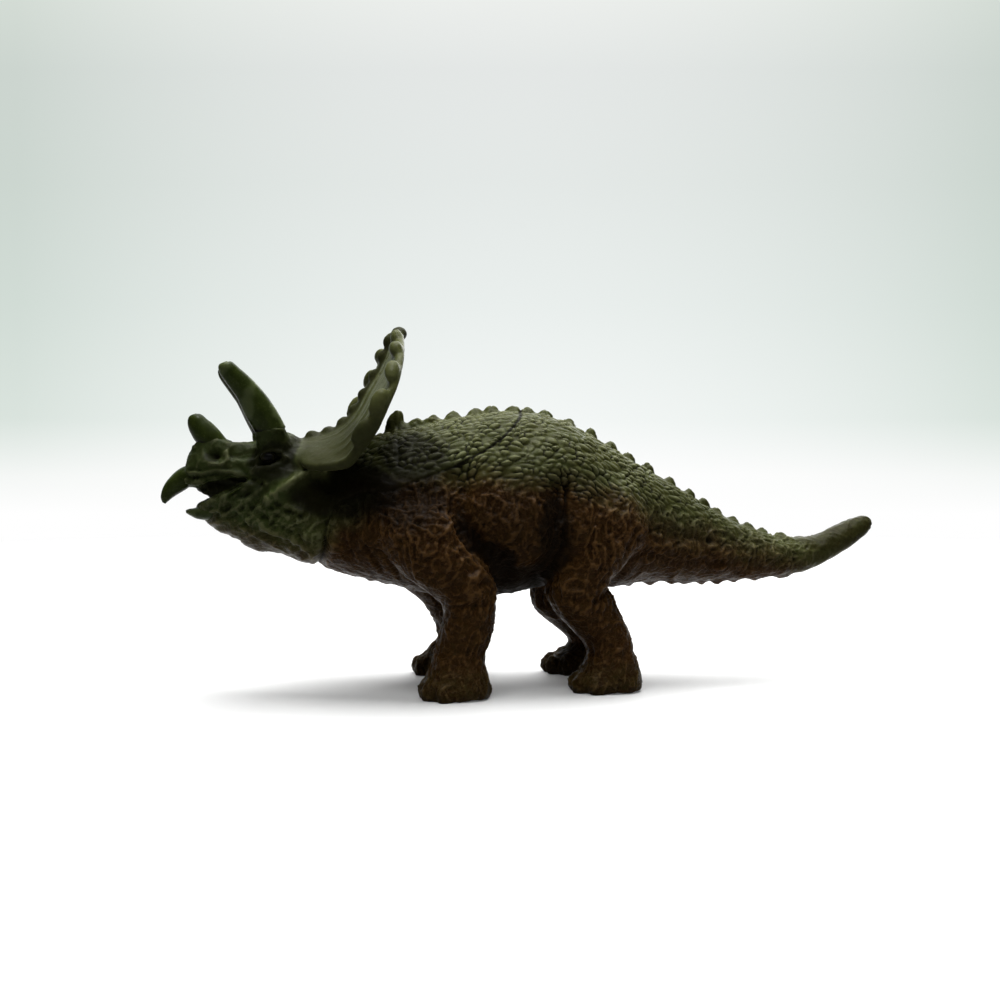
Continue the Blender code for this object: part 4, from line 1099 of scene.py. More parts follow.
def skin_relief(points, normals, shares, sizes):
    """Height of the relief at each point of the skin, in millimetres; also the dark seam with the painted shade, the
    share of scales and the share of wrinkled hide.
    """
    side = np.abs(points[:, 1])
    outward = ramp(normals[:, 1] * np.sign(points[:, 1]), -0.15, 0.35)
    torso = shares[:, 0]
    head = shares[:, 1]
    frill = shares[:, 2]
    legs = shares[:, 3:].sum(1)
    wobble = soft_noise(points, 4.0, 3)
    downward = ramp(-normals[:, 2], 0.2, 0.8)
    quiet = 1 - 0.65 * downward

    # Scales on the back, the hips and the upper half of the tail
    down = trunk_place(points)
    edge = np.interp(points[:, 0], *np.array(SCALE_EDGE).T)
    scaly = ramp(points[:, 2] + 1.2 * wobble, edge - 1.2, edge + 1.2) * (torso + legs)
    nape = head * ramp(points[:, 0], -50, -46) * ramp(points[:, 2], 43, 45.5)
    scaly = np.clip(scaly + nape, 0, 1)
    smaller = np.interp(points[:, 0], (-45, 15, 50, 75), (1, 1, 0.72, 0.6))
    tip = ramp(points[:, 0], 54, 62)
    run = np.interp(points[:, 0], (-75, 15, 50, 75), (-90 / 1.0, 0, 35 / 0.86, 35 / 0.86 + 25 / 0.66))
    along = run * MM / sizes.scale_length + 0.55 * soft_noise(points, 2.6, 11)
    across = down / smaller * MM / sizes.scale_width + 0.60 * soft_noise(points, 3.2, 12)
    domes = scale_rows(along, across, 0.9, 21)
    scaly = scaly * (1 - 0.8 * tip)
    uneven = (0.80 + 0.50 * soft_noise(points, 2.0, 13)) * (0.45 + 0.55 * ramp(side, 1.2, 2.6))
    height = scaly * smaller * uneven * (sizes.scale_height / MM) * (domes - 0.45)
    height += scaly * smaller * 0.20 * soft_noise(points, 1.9, 14)

    # Wrinkles of the flanks, the chest and the sides of the tail: thin ridges
    flank = np.clip(torso - scaly, 0, 1)
    depth = sizes.wrinkle_depth / MM
    bent = points + 0.8 * np.stack([soft_noise(points, 2.4, seed) for seed in (31, 32, 33)], 1)
    tail = ramp(points[:, 0], 12, 24)
    upright = bent * np.array((1.0, 1.0, 0.6))
    flowing = bent * np.array((0.45, 1.0, 1.0))
    coarse = thin_ridge(soft_noise(upright, 1.5, 41), 0.34) * (1 - tail) + thin_ridge(soft_noise(flowing, 1.2, 45), 0.34) * tail
    fine = thin_ridge(soft_noise(bent, 0.95, 42), 0.36)
    thin = thin_ridge(soft_noise(upright, 2.3, 44), 0.20)
    lumps = 0.4 * soft_noise(bent, 1.3, 46) + 0.3 * soft_noise(bent, 0.85, 47)
    wrinkles = quiet * (0.8 * coarse + 0.45 * fine + 0.85 * thin + lumps - 0.7)
    height += flank * (1 - 0.7 * tip) * depth * wrinkles
    height += flank * 0.26 * soft_noise(points * np.array((1.0, 0.7, 0.45)), 2.3, 43)

    # Leathery hide of the legs
    hide = np.clip(legs - scaly, 0, 1)
    upper_leg = ramp(points[:, 2], 12, 26)
    height += hide * (0.60 + 0.50 * upper_leg) * depth * wrinkles
    height += hide * 0.26 * soft_noise(points, 3.2, 52)

    # Head: soft bumps on the face, folds on the throat
    face = np.clip(head - nape, 0, 1)
    throat = ramp(points[:, 2] + 0.28 * points[:, 0], 25.5, 21.0)
    height += face * depth * (0.30 + 0.25 * throat) * wrinkles
    height += face * 0.24 * soft_noise(points, 2.4, 62)
    slanted = np.stack((points[:, 0] + points[:, 2], points[:, 1], 2.2 * (points[:, 2] - 0.6 * points[:, 0])), 1)
    height += face * throat * quiet * 0.60 * thin_ridge(soft_noise(slanted, 3.2, 61), 0.55)
    height += frill * 0.10 * rough_noise(points, 2.0, 63)

    # Drawn folds, swellings and nubs
    owners = {"torso": torso, "head": head, "frill": frill, "fore_leg": shares[:, 3] + shares[:, 4], "hind_leg": shares[:, 5] + shares[:, 6]}
    for names, depth_here, width, lip, line in BODY_FOLDS:
        owner = np.clip(sum(owners[name] for name in names.split()), 0, 1)
        if "leg" in names:
            owner = owner * (points[:, 1] < 0)
        far = line_distance(points, line) + 0.12 * wobble
        height += owner * outward * fold(np.abs(far), depth_here, width, lip)
    for name, place, level, half_long, half_high, rise in BODY_SWELLINGS:
        owner = (legs + torso) * (points[:, 1] < 0) if "leg" in name else owners[name]
        far = ((points[:, 0] - place) / half_long) ** 2 + ((points[:, 2] - level) / half_high) ** 2
        height += owner * outward * rise * np.exp(-far)
    for place, rise in UNDER_NUBS:
        far = ((points[:, 0] - place) / 1.25) ** 2 + (side / 1.4) ** 2
        height += torso * downward * 0.95 * rise * np.exp(-far)

    # Seam of head and torso
    seam = line_distance(points, seam_line())
    height -= (torso + head) * (sizes.seam_depth / MM) * np.exp(-(seam / 0.26) ** 2)

    # Dark line in the seam; painted shade in the deep creases, on the side-facing back and tail and in the shade
    # zones, kept off the raised folds of the face; darker paint on the middle row of the frill
    seam_and_painted_shade = (torso + head) * (0.35 + 0.65 * scaly) * np.clip(1.4 * np.exp(-(seam / 0.24) ** 2), 0, 1)
    # painted shade along the deep creases behind the shoulder and in front of the thigh
    for names, depth_here, width, lip, line in BODY_FOLDS:
        if names == "torso" and depth_here > 1:
            crease = np.exp(-(line_distance(points, line) / 2.4) ** 2)
            seam_and_painted_shade = np.maximum(seam_and_painted_shade, torso * outward * crease * ramp(-points[:, 2], -41, -33))
    # painted shade on side-facing surfaces of the scaly back and tail
    sideways = (1 - ramp(normals[:, 2], 0.15, 0.85)) * ramp(points[:, 0], -30, 10)
    seam_and_painted_shade = np.maximum(seam_and_painted_shade, 0.42 * (torso + legs) * scaly * sideways)
    patchy = 1 + 0.5 * rough_noise(points, 2.5, 64)
    # painted shade in the zones under the frill, round the eye and cheek and in the body's hollows
    for names, place, level, half_long, half_high, share in PAINTED_SHADE_ZONES:
        owner = np.clip(sum(owners[name] for name in names.split()), 0, 1)
        far = ((points[:, 0] - place) / half_long) ** 2 + ((points[:, 2] - level) / half_high) ** 2
        seam_and_painted_shade = np.maximum(seam_and_painted_shade, owner * share * np.clip(1.5 * np.exp(-far ** 2) * patchy, 0, 1))
    # less painted shade on the raised folds of the face, so that they read as lit
    for names, depth_here, width, lip, line in BODY_FOLDS:
        if names == "head" and depth_here < -1:
            seam_and_painted_shade = seam_and_painted_shade * (1 - 0.80 * head * np.exp(-(line_distance(points, line) / 1.3) ** 2))
    seam_and_painted_shade = np.maximum(seam_and_painted_shade, frill * 0.7 * ramp(-side, -3.0, -1.6))
    rugged = np.clip(flank * (1 - 0.6 * tip) + hide + face * (0.25 + 0.6 * throat) + 0.35 * scaly + 0.12 * frill, 0, 1)
    return height, seam_and_painted_shade, scaly, rugged


def skin_colours(points, normals, shares, scaly):
    """Share of green spray at each point."""
    edge = np.interp(points[:, 0], *np.array(GREEN_EDGE).T)
    cloud = rough_noise(points, 7.0, 71)
    speck = rough_noise(points, 1.4, 75)
    blend = 4.5 * ramp(points[:, 0], 12, 26)
    high = ramp(points[:, 2] + 2.8 * cloud + 1.3 * speck, edge - 3.6 - blend, edge + 4.2)
    top = ramp(normals[:, 2], -0.5, 0.8)
    torso = shares[:, 0]
    head = shares[:, 1] + shares[:, 2]
    legs = shares[:, 3:].sum(1)
    throat = ramp(points[:, 2] + 0.30 * points[:, 0] + cloud, 13.0, 18.5) * ramp(-points[:, 0], 36, 44)
    green = (torso + legs) * high * (0.58 + 0.42 * top)
    sprayed = ramp(points[:, 2], 41, 45) * ramp(points[:, 0], -50, -44)
    green += head * (0.30 + 0.70 * np.maximum(throat, sprayed))
    tip = ramp(points[:, 0], 52, 64)
    green = green + torso * tip * (0.75 - green)
    foot = legs * ramp(points[:, 2], 8, 3) * 0.18
    return np.clip(green + foot, 0, 1)


# Paint

def attribute_node(tree, name):
    """Reads one of the skin's own values."""
    node = tree.nodes.new("ShaderNodeAttribute")
    node.attribute_name = name
    return node.outputs["Fac"]


def noise_node(tree, spot, scale, detail, roughness=0.55):
    """Noise at object size; scale is lumps per metre."""
    node = tree.nodes.new("ShaderNodeTexNoise")
    node.inputs["Scale"].default_value = scale
    node.inputs["Detail"].default_value = detail
    node.inputs["Roughness"].default_value = roughness
    tree.links.new(spot, node.inputs["Vector"])
    return node.outputs["Fac"]


def mixed(tree, share, first, second, kind="MIX"):
    """Mix of two colours; each may be a colour or another node's output."""
    node = tree.nodes.new("ShaderNodeMix")
    node.data_type = "RGBA"
    node.blend_type = kind
    for socket, value in ((node.inputs["Factor"], share), (node.inputs[6], first), (node.inputs[7], second)):
        if isinstance(value, bpy.types.NodeSocket):
            tree.links.new(value, socket)
        else:
            socket.default_value = value
    return node.outputs[2]


def ranged(tree, value, low, high, out_low, out_high):
    """Brings a value from one range to another, clamped."""
    node = tree.nodes.new("ShaderNodeMapRange")
    tree.links.new(value, node.inputs["Value"])
    for name, number in (("From Min", low), ("From Max", high), ("To Min", out_low), ("To Max", out_high)):
        node.inputs[name].default_value = number
    return node.outputs["Result"]


def summed(tree, kind, first, second):
    """First and second combined by one sum."""
    node = tree.nodes.new("ShaderNodeMath")
    node.operation = kind
    node.use_clamp = True
    for socket, value in zip(node.inputs, (first, second)):
        if isinstance(value, bpy.types.NodeSocket):
            tree.links.new(value, socket)
        else:
            socket.default_value = value
    return node.outputs[0]


def skin_paint(name, sizes):
    """Brown plastic with green sprayed over it, painted shade in grooves and hollows, and paler tops that are partly
    scuffed paint and partly painted highlight.
    """
    material = bpy.data.materials.new(name)
    material.use_nodes = True
    tree = material.node_tree
    shader = tree.nodes["Principled BSDF"]
    spot = tree.nodes.new("ShaderNodeTexCoord").outputs["Object"]
    cloud = noise_node(tree, spot, 160, 3)
    speck = noise_node(tree, spot, 1500, 3, 0.65)
    fine = noise_node(tree, spot, 4200, 2)
    patch = noise_node(tree, spot, 480, 3, 0.6)
    green = attribute_node(tree, "green")
    hollow = attribute_node(tree, "hollow")
    crest = attribute_node(tree, "crest")
    brown = mixed(tree, ranged(tree, cloud, 0.35, 0.70, 0.0, 0.55), tuple(sizes.brown), (0.052, 0.026, 0.0055, 1))
    brown = mixed(tree, ranged(tree, speck, 0.50, 0.72, 0.0, 0.28), brown, (0.020, 0.007, 0.003, 1))
    brown = mixed(tree, ranged(tree, patch, 0.44, 0.66, 0.0, 0.45), brown, (0.014, 0.0058, 0.0018, 1))
    leaf = mixed(tree, ranged(tree, cloud, 0.30, 0.72, 0.0, 0.6), tuple(sizes.green), (0.050, 0.066, 0.018, 1))
    leaf = mixed(tree, ranged(tree, patch, 0.46, 0.64, 0.0, 0.50), leaf, (0.038, 0.044, 0.011, 1))
    split = tree.nodes.new("ShaderNodeSeparateXYZ")
    tree.links.new(spot, split.inputs["Vector"])
    ahead = ranged(tree, split.outputs["X"], -0.054, -0.044, 1.0, 0.0)
    leaf = mixed(tree, ahead, leaf, mixed(tree, 1.0, leaf, (0.78, 0.98, 0.90, 1), "MULTIPLY"))
    stain = summed(tree, "ADD", green, ranged(tree, patch, 0.40, 0.62, 0.06, -0.10))
    cover = summed(tree, "ADD", stain, ranged(tree, speck, 0.40, 0.66, -0.10, 0.10))
    body = mixed(tree, cover, brown, leaf)
    rugged = attribute_node(tree, "rugged")
    vein = ranged(tree, summed(tree, "PINGPONG", noise_node(tree, spot, 640, 2, 0.5), 0.5), 0.445, 0.498, 0.0, 1.0)
    line = ranged(tree, summed(tree, "PINGPONG", noise_node(tree, spot, 1250, 2, 0.5), 0.5), 0.44, 0.498, 0.0, 1.0)
    crease = summed(tree, "MULTIPLY", rugged, summed(tree, "ADD", summed(tree, "MULTIPLY", vein, 0.6), summed(tree, "MULTIPLY", line, 0.4)))
    # painted highlight, partly scuffed paint, on the tops of the relief, on the fine wrinkle lines and over the frill
    crest = summed(tree, "ADD", crest, summed(tree, "MULTIPLY", crease, 0.62))
    scuff_and_highlight_share = summed(tree, "MULTIPLY", crest, ranged(tree, green, 0.0, 0.8, 0.80, 0.62))
    scuff_and_highlight_colour = mixed(tree, green, (0.128, 0.066, 0.022, 1), tuple(sizes.scuffed_and_highlight))
    body = mixed(tree, scuff_and_highlight_share, body, scuff_and_highlight_colour)
    # painted shade in grooves, hollows, the mouth and under the frill, with the dark seam
    seam_and_painted_shade = summed(tree, "MULTIPLY", hollow, 0.92)
    body = mixed(tree, seam_and_painted_shade, body, tuple(sizes.shade))
    tree.links.new(body, shader.inputs["Base Color"])
    gloss = summed(tree, "ADD", ranged(tree, speck, 0.3, 0.7, 0.26, 0.42), ranged(tree, hollow, 0.0, 1.0, 0.0, 0.22))
    tree.links.new(gloss, shader.inputs["Roughness"])
    shader.inputs["Specular IOR Level"].default_value = 0.03
    bump = tree.nodes.new("ShaderNodeBump")
    bump.inputs["Strength"].default_value = 0.8
    bump.inputs["Distance"].default_value = 0.00022
    grit = summed(tree, "ADD", summed(tree, "MULTIPLY", speck, 0.30), summed(tree, "MULTIPLY", fine, 0.12))
    tree.links.new(summed(tree, "ADD", grit, summed(tree, "MULTIPLY", crease, 0.58)), bump.inputs["Height"])
    tree.links.new(bump.outputs["Normal"], shader.inputs["Normal"])
    return material


def horn_paint(name, sizes):
    """Glossy olive green with darker smears, painted highlight on the tops of the dents, painted shade in them and a
    dark band at a horn's foot.
    """
    material = bpy.data.materials.new(name)
    material.use_nodes = True
    tree = material.node_tree
    shader = tree.nodes["Principled BSDF"]
    spot = tree.nodes.new("ShaderNodeTexCoord").outputs["Object"]
    cloud = noise_node(tree, spot, 420, 4, 0.6)
    speck = noise_node(tree, spot, 2600, 3, 0.65)
    hollow = attribute_node(tree, "hollow")
    crest = attribute_node(tree, "crest")
    body = mixed(tree, ranged(tree, cloud, 0.34, 0.66, 0.0, 0.8), tuple(sizes.horn_green), (0.018, 0.026, 0.005, 1))
    body = mixed(tree, ranged(tree, speck, 0.55, 0.75, 0.0, 0.5), body, (0.070, 0.085, 0.030, 1))
    # painted highlight on the tops of the dents
    body = mixed(tree, summed(tree, "MULTIPLY", crest, 0.6), body, (0.10, 0.12, 0.05, 1))
    # painted shade in the dents, with the dark band at the foot of a horn
    body = mixed(tree, hollow, body, tuple(sizes.shade))
    tree.links.new(body, shader.inputs["Base Color"])
    tree.links.new(ranged(tree, cloud, 0.3, 0.7, 0.24, 0.38), shader.inputs["Roughness"])
    shader.inputs["Specular IOR Level"].default_value = 0.035
    bump = tree.nodes.new("ShaderNodeBump")
    bump.inputs["Strength"].default_value = 0.15
    bump.inputs["Distance"].default_value = 0.0001
    tree.links.new(speck, bump.inputs["Height"])
    tree.links.new(bump.outputs["Normal"], shader.inputs["Normal"])
    return material


def eye_paint(name):
    """A dark glossy bead with a brown ring, by distance from its middle."""
    material = bpy.data.materials.new(name)
    material.use_nodes = True
    tree = material.node_tree
    shader = tree.nodes["Principled BSDF"]
    pupil = attribute_node(tree, "pupil")
    spot = tree.nodes.new("ShaderNodeTexCoord").outputs["Object"]
    speck = noise_node(tree, spot, 3000, 2)
    ring = mixed(tree, ranged(tree, speck, 0.4, 0.6, 0, 1), (0.006, 0.006, 0.002, 1), (0.010, 0.009, 0.003, 1))
    tree.links.new(mixed(tree, pupil, ring, (0.002, 0.002, 0.002, 1)), shader.inputs["Base Color"])
    shader.inputs["Roughness"].default_value = 0.5
    shader.inputs["Specular IOR Level"].default_value = 0.05
    return material


def note_values(data, name, values):
    """Keep one number per point on the mesh for its paint."""
    layer = data.attributes.new(name, "FLOAT", "POINT")
    layer.data.foreach_set("value", values.astype(np.float32))


def dress(item, node, material):
    """Give a piece its paint and its body, and hide the CAD node it stands for."""
    item.data.materials.clear()
    item.data.materials.append(material)
    item.data.polygons.foreach_set("material_index", [0] * len(item.data.polygons))
    item.data.shade_smooth()
    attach(item, "root")
    if node:
        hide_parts(node)


# Operators

class TOY_OT_skin(Operator):
    """Model the wrinkled and scaly skin and part it into torso, head, frill and legs"""

    bl_idname = "toy.skin"
    bl_label = "Skin"

    def execute(self, context):
        sizes = context.scene.toy_sizes
        forms = self.make_forms()
        item, owner_of_face, dark_of_face = self.join(forms)
        corners = [vert.co[:] for vert in item.data.vertices]
        raw = BVHTree.FromPolygons(corners, [face.vertices[:] for face in item.data.polygons])
        remesh(item, sizes.skin_grain)
        data = item.data
        ends, counts = edge_ends(data)
        points = read_vectors(data.vertices, "co")
        nearest = np.array([raw.find_nearest(point)[2] for point in points.tolist()])
        owners = np.array(owner_of_face)[nearest]
        # painted shade over the whole mouth lining
        dark = np.array(dark_of_face, dtype=float)[nearest]

        # Head or torso by the side of the seam on which a point lies
        line = np.array(seam_line())[::-1] * MM
        ahead = points[:, 0] < np.interp(points[:, 2], line[:, 1], line[:, 0])
        owners = np.where((owners == 0) & ahead, 1, np.where((owners == 1) & ~ahead, 0, owners))
        shares = np.eye(len(SKIN_PIECES))[owners]
        soft_shares = even_out(shares, ends, counts, 6)
        owners = soft_shares.argmax(1)
        wide_shares = even_out(shares, ends, counts, 30)

        # Smooth the stair steps of the remesh, and melt the tops of the legs into the body
        points = even_out(points, ends, counts, 8)
        melt = np.zeros(len(points))
        for place, level, half_long, half_high in MELT_ZONES:
            far = ((points[:, 0] / MM - place) / half_long) ** 2 + ((points[:, 2] / MM - level) / half_high) ** 2
            melt = np.maximum(melt, ramp(-far, -1.0, -0.5))
        melt = melt * (1 - wide_shares[:, 2]) * (1 - wide_shares[:, 1]) * ramp(np.abs(points[:, 1]), 0.0045, 0.0075)
        melt = np.maximum(melt, 2 * wide_shares[:, 1] * wide_shares[:, 2])
        melt = np.maximum(melt, TOE_MELT * wide_shares[:, 3:].sum(1) * ramp(-points[:, 2], -0.0065, -0.0035))
        strength = 0.6 * melt[:, None]
        points = even_out(points, ends, counts, 120, strength)
        write_points(data, points)
        normals = even_out(read_vectors(data.vertex_normals, "vector"), ends, counts, 4)
        normals /= np.linalg.norm(normals, axis=1)[:, None]

        places = points / MM
        height, seam_and_painted_shade, scaly, rugged = skin_relief(places, normals, soft_shares, sizes)
        points = points + normals * height[:, None] * MM
        points[:, 2] = np.maximum(points[:, 2], 0)
        write_points(data, points)

        # Painted shade in the grooves and hollows of the relief, and painted highlight on its crests and over the
        # whole frill, from how the relief stands to its surroundings
        level = even_out(height, ends, counts, 14)
        rise = height - level
        around = even_out(points, ends, counts, 10)
        bulge = ((points - around) * normals).sum(1) / MM
        hollow = (ramp(-rise, 0.05, 0.30) * 0.75 + ramp(-bulge, 0.05, 0.26) * 0.6) * (0.45 + 0.55 * scaly)
        hollow = np.clip(np.maximum(hollow + 0.6 * seam_and_painted_shade, np.maximum(seam_and_painted_shade, even_out(dark, ends, counts, 5))), 0, 1)
        crest = np.clip(ramp(rise, 0.03, 0.20) * 0.7 + ramp(bulge, 0.04, 0.25) * 0.4 + 0.28 * soft_shares[:, 2], 0, 1)
        note_values(data, "green", skin_colours(places, normals, soft_shares, scaly))
        note_values(data, "hollow", hollow)
        note_values(data, "crest", crest)
        note_values(data, "rugged", rugged)
        layer = data.attributes.new("fused_normal", "FLOAT_VECTOR", "POINT")
        layer.data.foreach_set("vector", read_vectors(data.vertex_normals, "vector").ravel())
        quads = np.empty(len(data.loops), dtype=np.int64)
        data.loops.foreach_get("vertex_index", quads)
        face_owners = np.sort(owners[quads.reshape(-1, 4)], axis=1)[:, 1]
        data.polygons.foreach_set("material_index", face_owners.astype(np.int32))
        for index, name in enumerate(SKIN_PIECES):
            self.part(data, index, name, sizes)
        bpy.data.objects.remove(item, do_unlink=True)
        return {"FINISHED"}

    def make_forms(self):
        """All forms that melt into the skin, with the number of the piece they belong to."""
        rows = smooth_rows(FRILL_SHARES)
        forms = [(trunk_form(), 0), (scute_form(), 0), (head_form(), 1), (mouth_lining(), 1), (brow_boss(-1), 1)]
        forms += [(brow_boss(1), 1), (frill_form(rows), 2), (frill_lumps(rows), 2), (frill_rolls(rows), 2)]
        legs = (
            ("fore_leg_left", fore_sizes(), -1, FORE_LEFT_SHARES),
            ("fore_leg_right", fore_sizes(), 1, FORE_RIGHT_SHARES),
            ("hind_leg_left", hind_sizes(), -1, HIND_LEFT_SHARES),
            ("hind_leg_right", hind_sizes(), 1, HIND_RIGHT_SHARES),
        )
        for name, leg_sizes, side, table in legs:
            number = SKIN_PIECES.index(name)
            forms.append((leg_form(name + "_form", leg_sizes, side, table), number))
            forms.append((toe_form(name, leg_sizes, side, table), number))
        return forms

    def join(self, forms):
        """One object of all forms, and for each face its piece and whether it is the mouth lining, painted as shade.
        """
        mesh = bmesh.new()
        owner_of_face = []
        dark_of_face = []
        for form, number in forms:
            mesh.from_mesh(form.data)
            added = len(mesh.faces) - len(owner_of_face)
            owner_of_face += [number] * added
            # faces of the mouth lining are marked for painted shade
            dark_of_face += [form.name.startswith("mouth")] * added
            bpy.data.objects.remove(form, do_unlink=True)
        return link_mesh("skin", mesh, turn_out=False), owner_of_face, dark_of_face

    def part(self, data, index, name, sizes):
        """Cut one piece out of the skin and close it inside the figure."""
        mesh = bmesh.new()
        mesh.from_mesh(data)
        away = [face for face in mesh.faces if face.material_index != index]
        bmesh.ops.delete(mesh, geom=away, context="FACES")
        border = [edge for edge in mesh.edges if len(edge.link_faces) == 1]
        while border:
            ring = [border[0]]
            seen = {border[0]}
            for edge in ring:
                for vert in edge.verts:
                    for other in vert.link_edges:
                        if len(other.link_faces) == 1 and other not in seen:
                            seen.add(other)
                            ring.append(other)
            verts = {vert for edge in ring for vert in edge.verts}
            middle = sum((vert.co for vert in verts), Vector()) / len(verts)
            grown = bmesh.ops.extrude_edge_only(mesh, edges=ring)["geom"]
            inner = [part for part in grown if isinstance(part, bmesh.types.BMVert)]
            bmesh.ops.pointmerge(mesh, verts=inner, merge_co=middle)
            border = [edge for edge in border if edge not in seen]
        piece = link_mesh("toy_" + name, mesh, turn_out=False)
        values = read_vectors(piece.data.attributes["fused_normal"].data, "vector")
        dress(piece, name, skin_paint(name + "_skin", sizes))
        piece.data.normals_split_custom_set_from_vertices(values.tolist())
        piece.data.attributes.remove(piece.data.attributes["fused_normal"])


class TOY_OT_horns(Operator):
    """Model the two brow horns and the nose horn"""

    bl_idname = "toy.horns"
    bl_label = "Horns"

    def execute(self, context):
        sizes = context.scene.toy_sizes
        horns = [("nose_horn", head_point(*NOSE_HORN_PLACE_SHARES), NOSE_HORN_SHARES, NOSE_HORN_LENGTH, NOSE_HORN_WIDTH, 0)]
        for name, side in (("brow_horn_left", -1), ("brow_horn_right", 1)):
            horns.append((name, brow_horn_base(side), BROW_HORN_SHARES, BROW_HORN_LENGTH, BROW_HORN_WIDTH, side))
        for name, base, rows, length, width, side in horns:
            piece = horn_form("toy_" + name, base, rows, length, width, side)
            finish_hard(piece, name, sizes, base.z / MM)
        return {"FINISHED"}


class TOY_OT_beaks(Operator):
    """Model the hooked upper beak and the scoop of the lower one"""

    bl_idname = "toy.beaks"
    bl_label = "Beaks"

    def execute(self, context):
        sizes = context.scene.toy_sizes
        root = head_point(*UPPER_BEAK_PLACE_SHARES)
        piece = beak_form("toy_upper_beak", root, UPPER_BEAK_SHARES, UPPER_BEAK_LENGTH, UPPER_BEAK_WIDTH, UPPER_BEAK_DEPTH)
        finish_hard(piece, "upper_beak", sizes)
        root = head_point(*LOWER_BEAK_PLACE_SHARES)
        piece = beak_form("toy_lower_beak", root, LOWER_BEAK_SHARES, LOWER_BEAK_LENGTH, LOWER_BEAK_WIDTH, LOWER_BEAK_DEPTH)
        finish_hard(piece, "lower_beak", sizes)
        return {"FINISHED"}


def finish_hard(piece, name, sizes, base_level=None):
    """Give a horn or beak shallow dents and its glossy paint."""
    data = piece.data
    points = read_vectors(data.vertices, "co")
    normals = read_vectors(data.vertex_normals, "vector")
    places = points / MM
    dents = 0.24 * soft_noise(places * np.array((1.0, 1.0, 0.6)), 3.4, 81) + 0.04 * soft_noise(places, 1.3, 82)
    write_points(data, points + normals * dents[:, None] * MM)
    # A dark band where a horn sits in its collar, painted shade in the dents and painted highlight on their tops
    foot = np.zeros(len(points))
    if base_level is not None:
        foot = ramp(-(places[:, 2] + 0.16 * (places[:, 0] - places[:, 0].mean())), -base_level - 0.55, -base_level + 0.1)
    note_values(data, "hollow", np.clip(foot * 0.9 + ramp(-dents, 0.04, 0.12) * 0.3, 0, 1))
    note_values(data, "crest", ramp(dents, 0.03, 0.1))
    dress(piece, name, horn_paint(name + "_gloss", sizes))


class TOY_OT_eyes(Operator):
    """Model the two eyeballs under their lids"""

    bl_idname = "toy.eyes"
    bl_label = "Eyes"

    def execute(self, context):
        place_share, height_share, width_share = EYE_PLACE_SHARES
        for name, side in (("left", -1), ("right", 1)):
            center = head_point(place_share, height_share)
            center.y = side * (width_share * HEAD_WIDTH / 2 - 0.0023)
            place = (center, (EYE_DIAMETER * 0.95, EYE_DIAMETER * 0.85, EYE_DIAMETER * 0.62), Matrix.Identity(4))
            piece = balls("toy_eye_" + name, [place])
            modifier = piece.modifiers.new("Refine", "SUBSURF")
            modifier.levels = 1
            modifier.render_levels = 1
            bake(piece)
            points = read_vectors(piece.data.vertices, "co")
            aside = np.hypot(points[:, 0] - center.x, points[:, 2] - center.z)
            note_values(piece.data, "pupil", ramp(-aside, -0.0009, -0.0007))
            dress(piece, None, eye_paint("eye_" + name + "_gloss"))
        return {"FINISHED"}


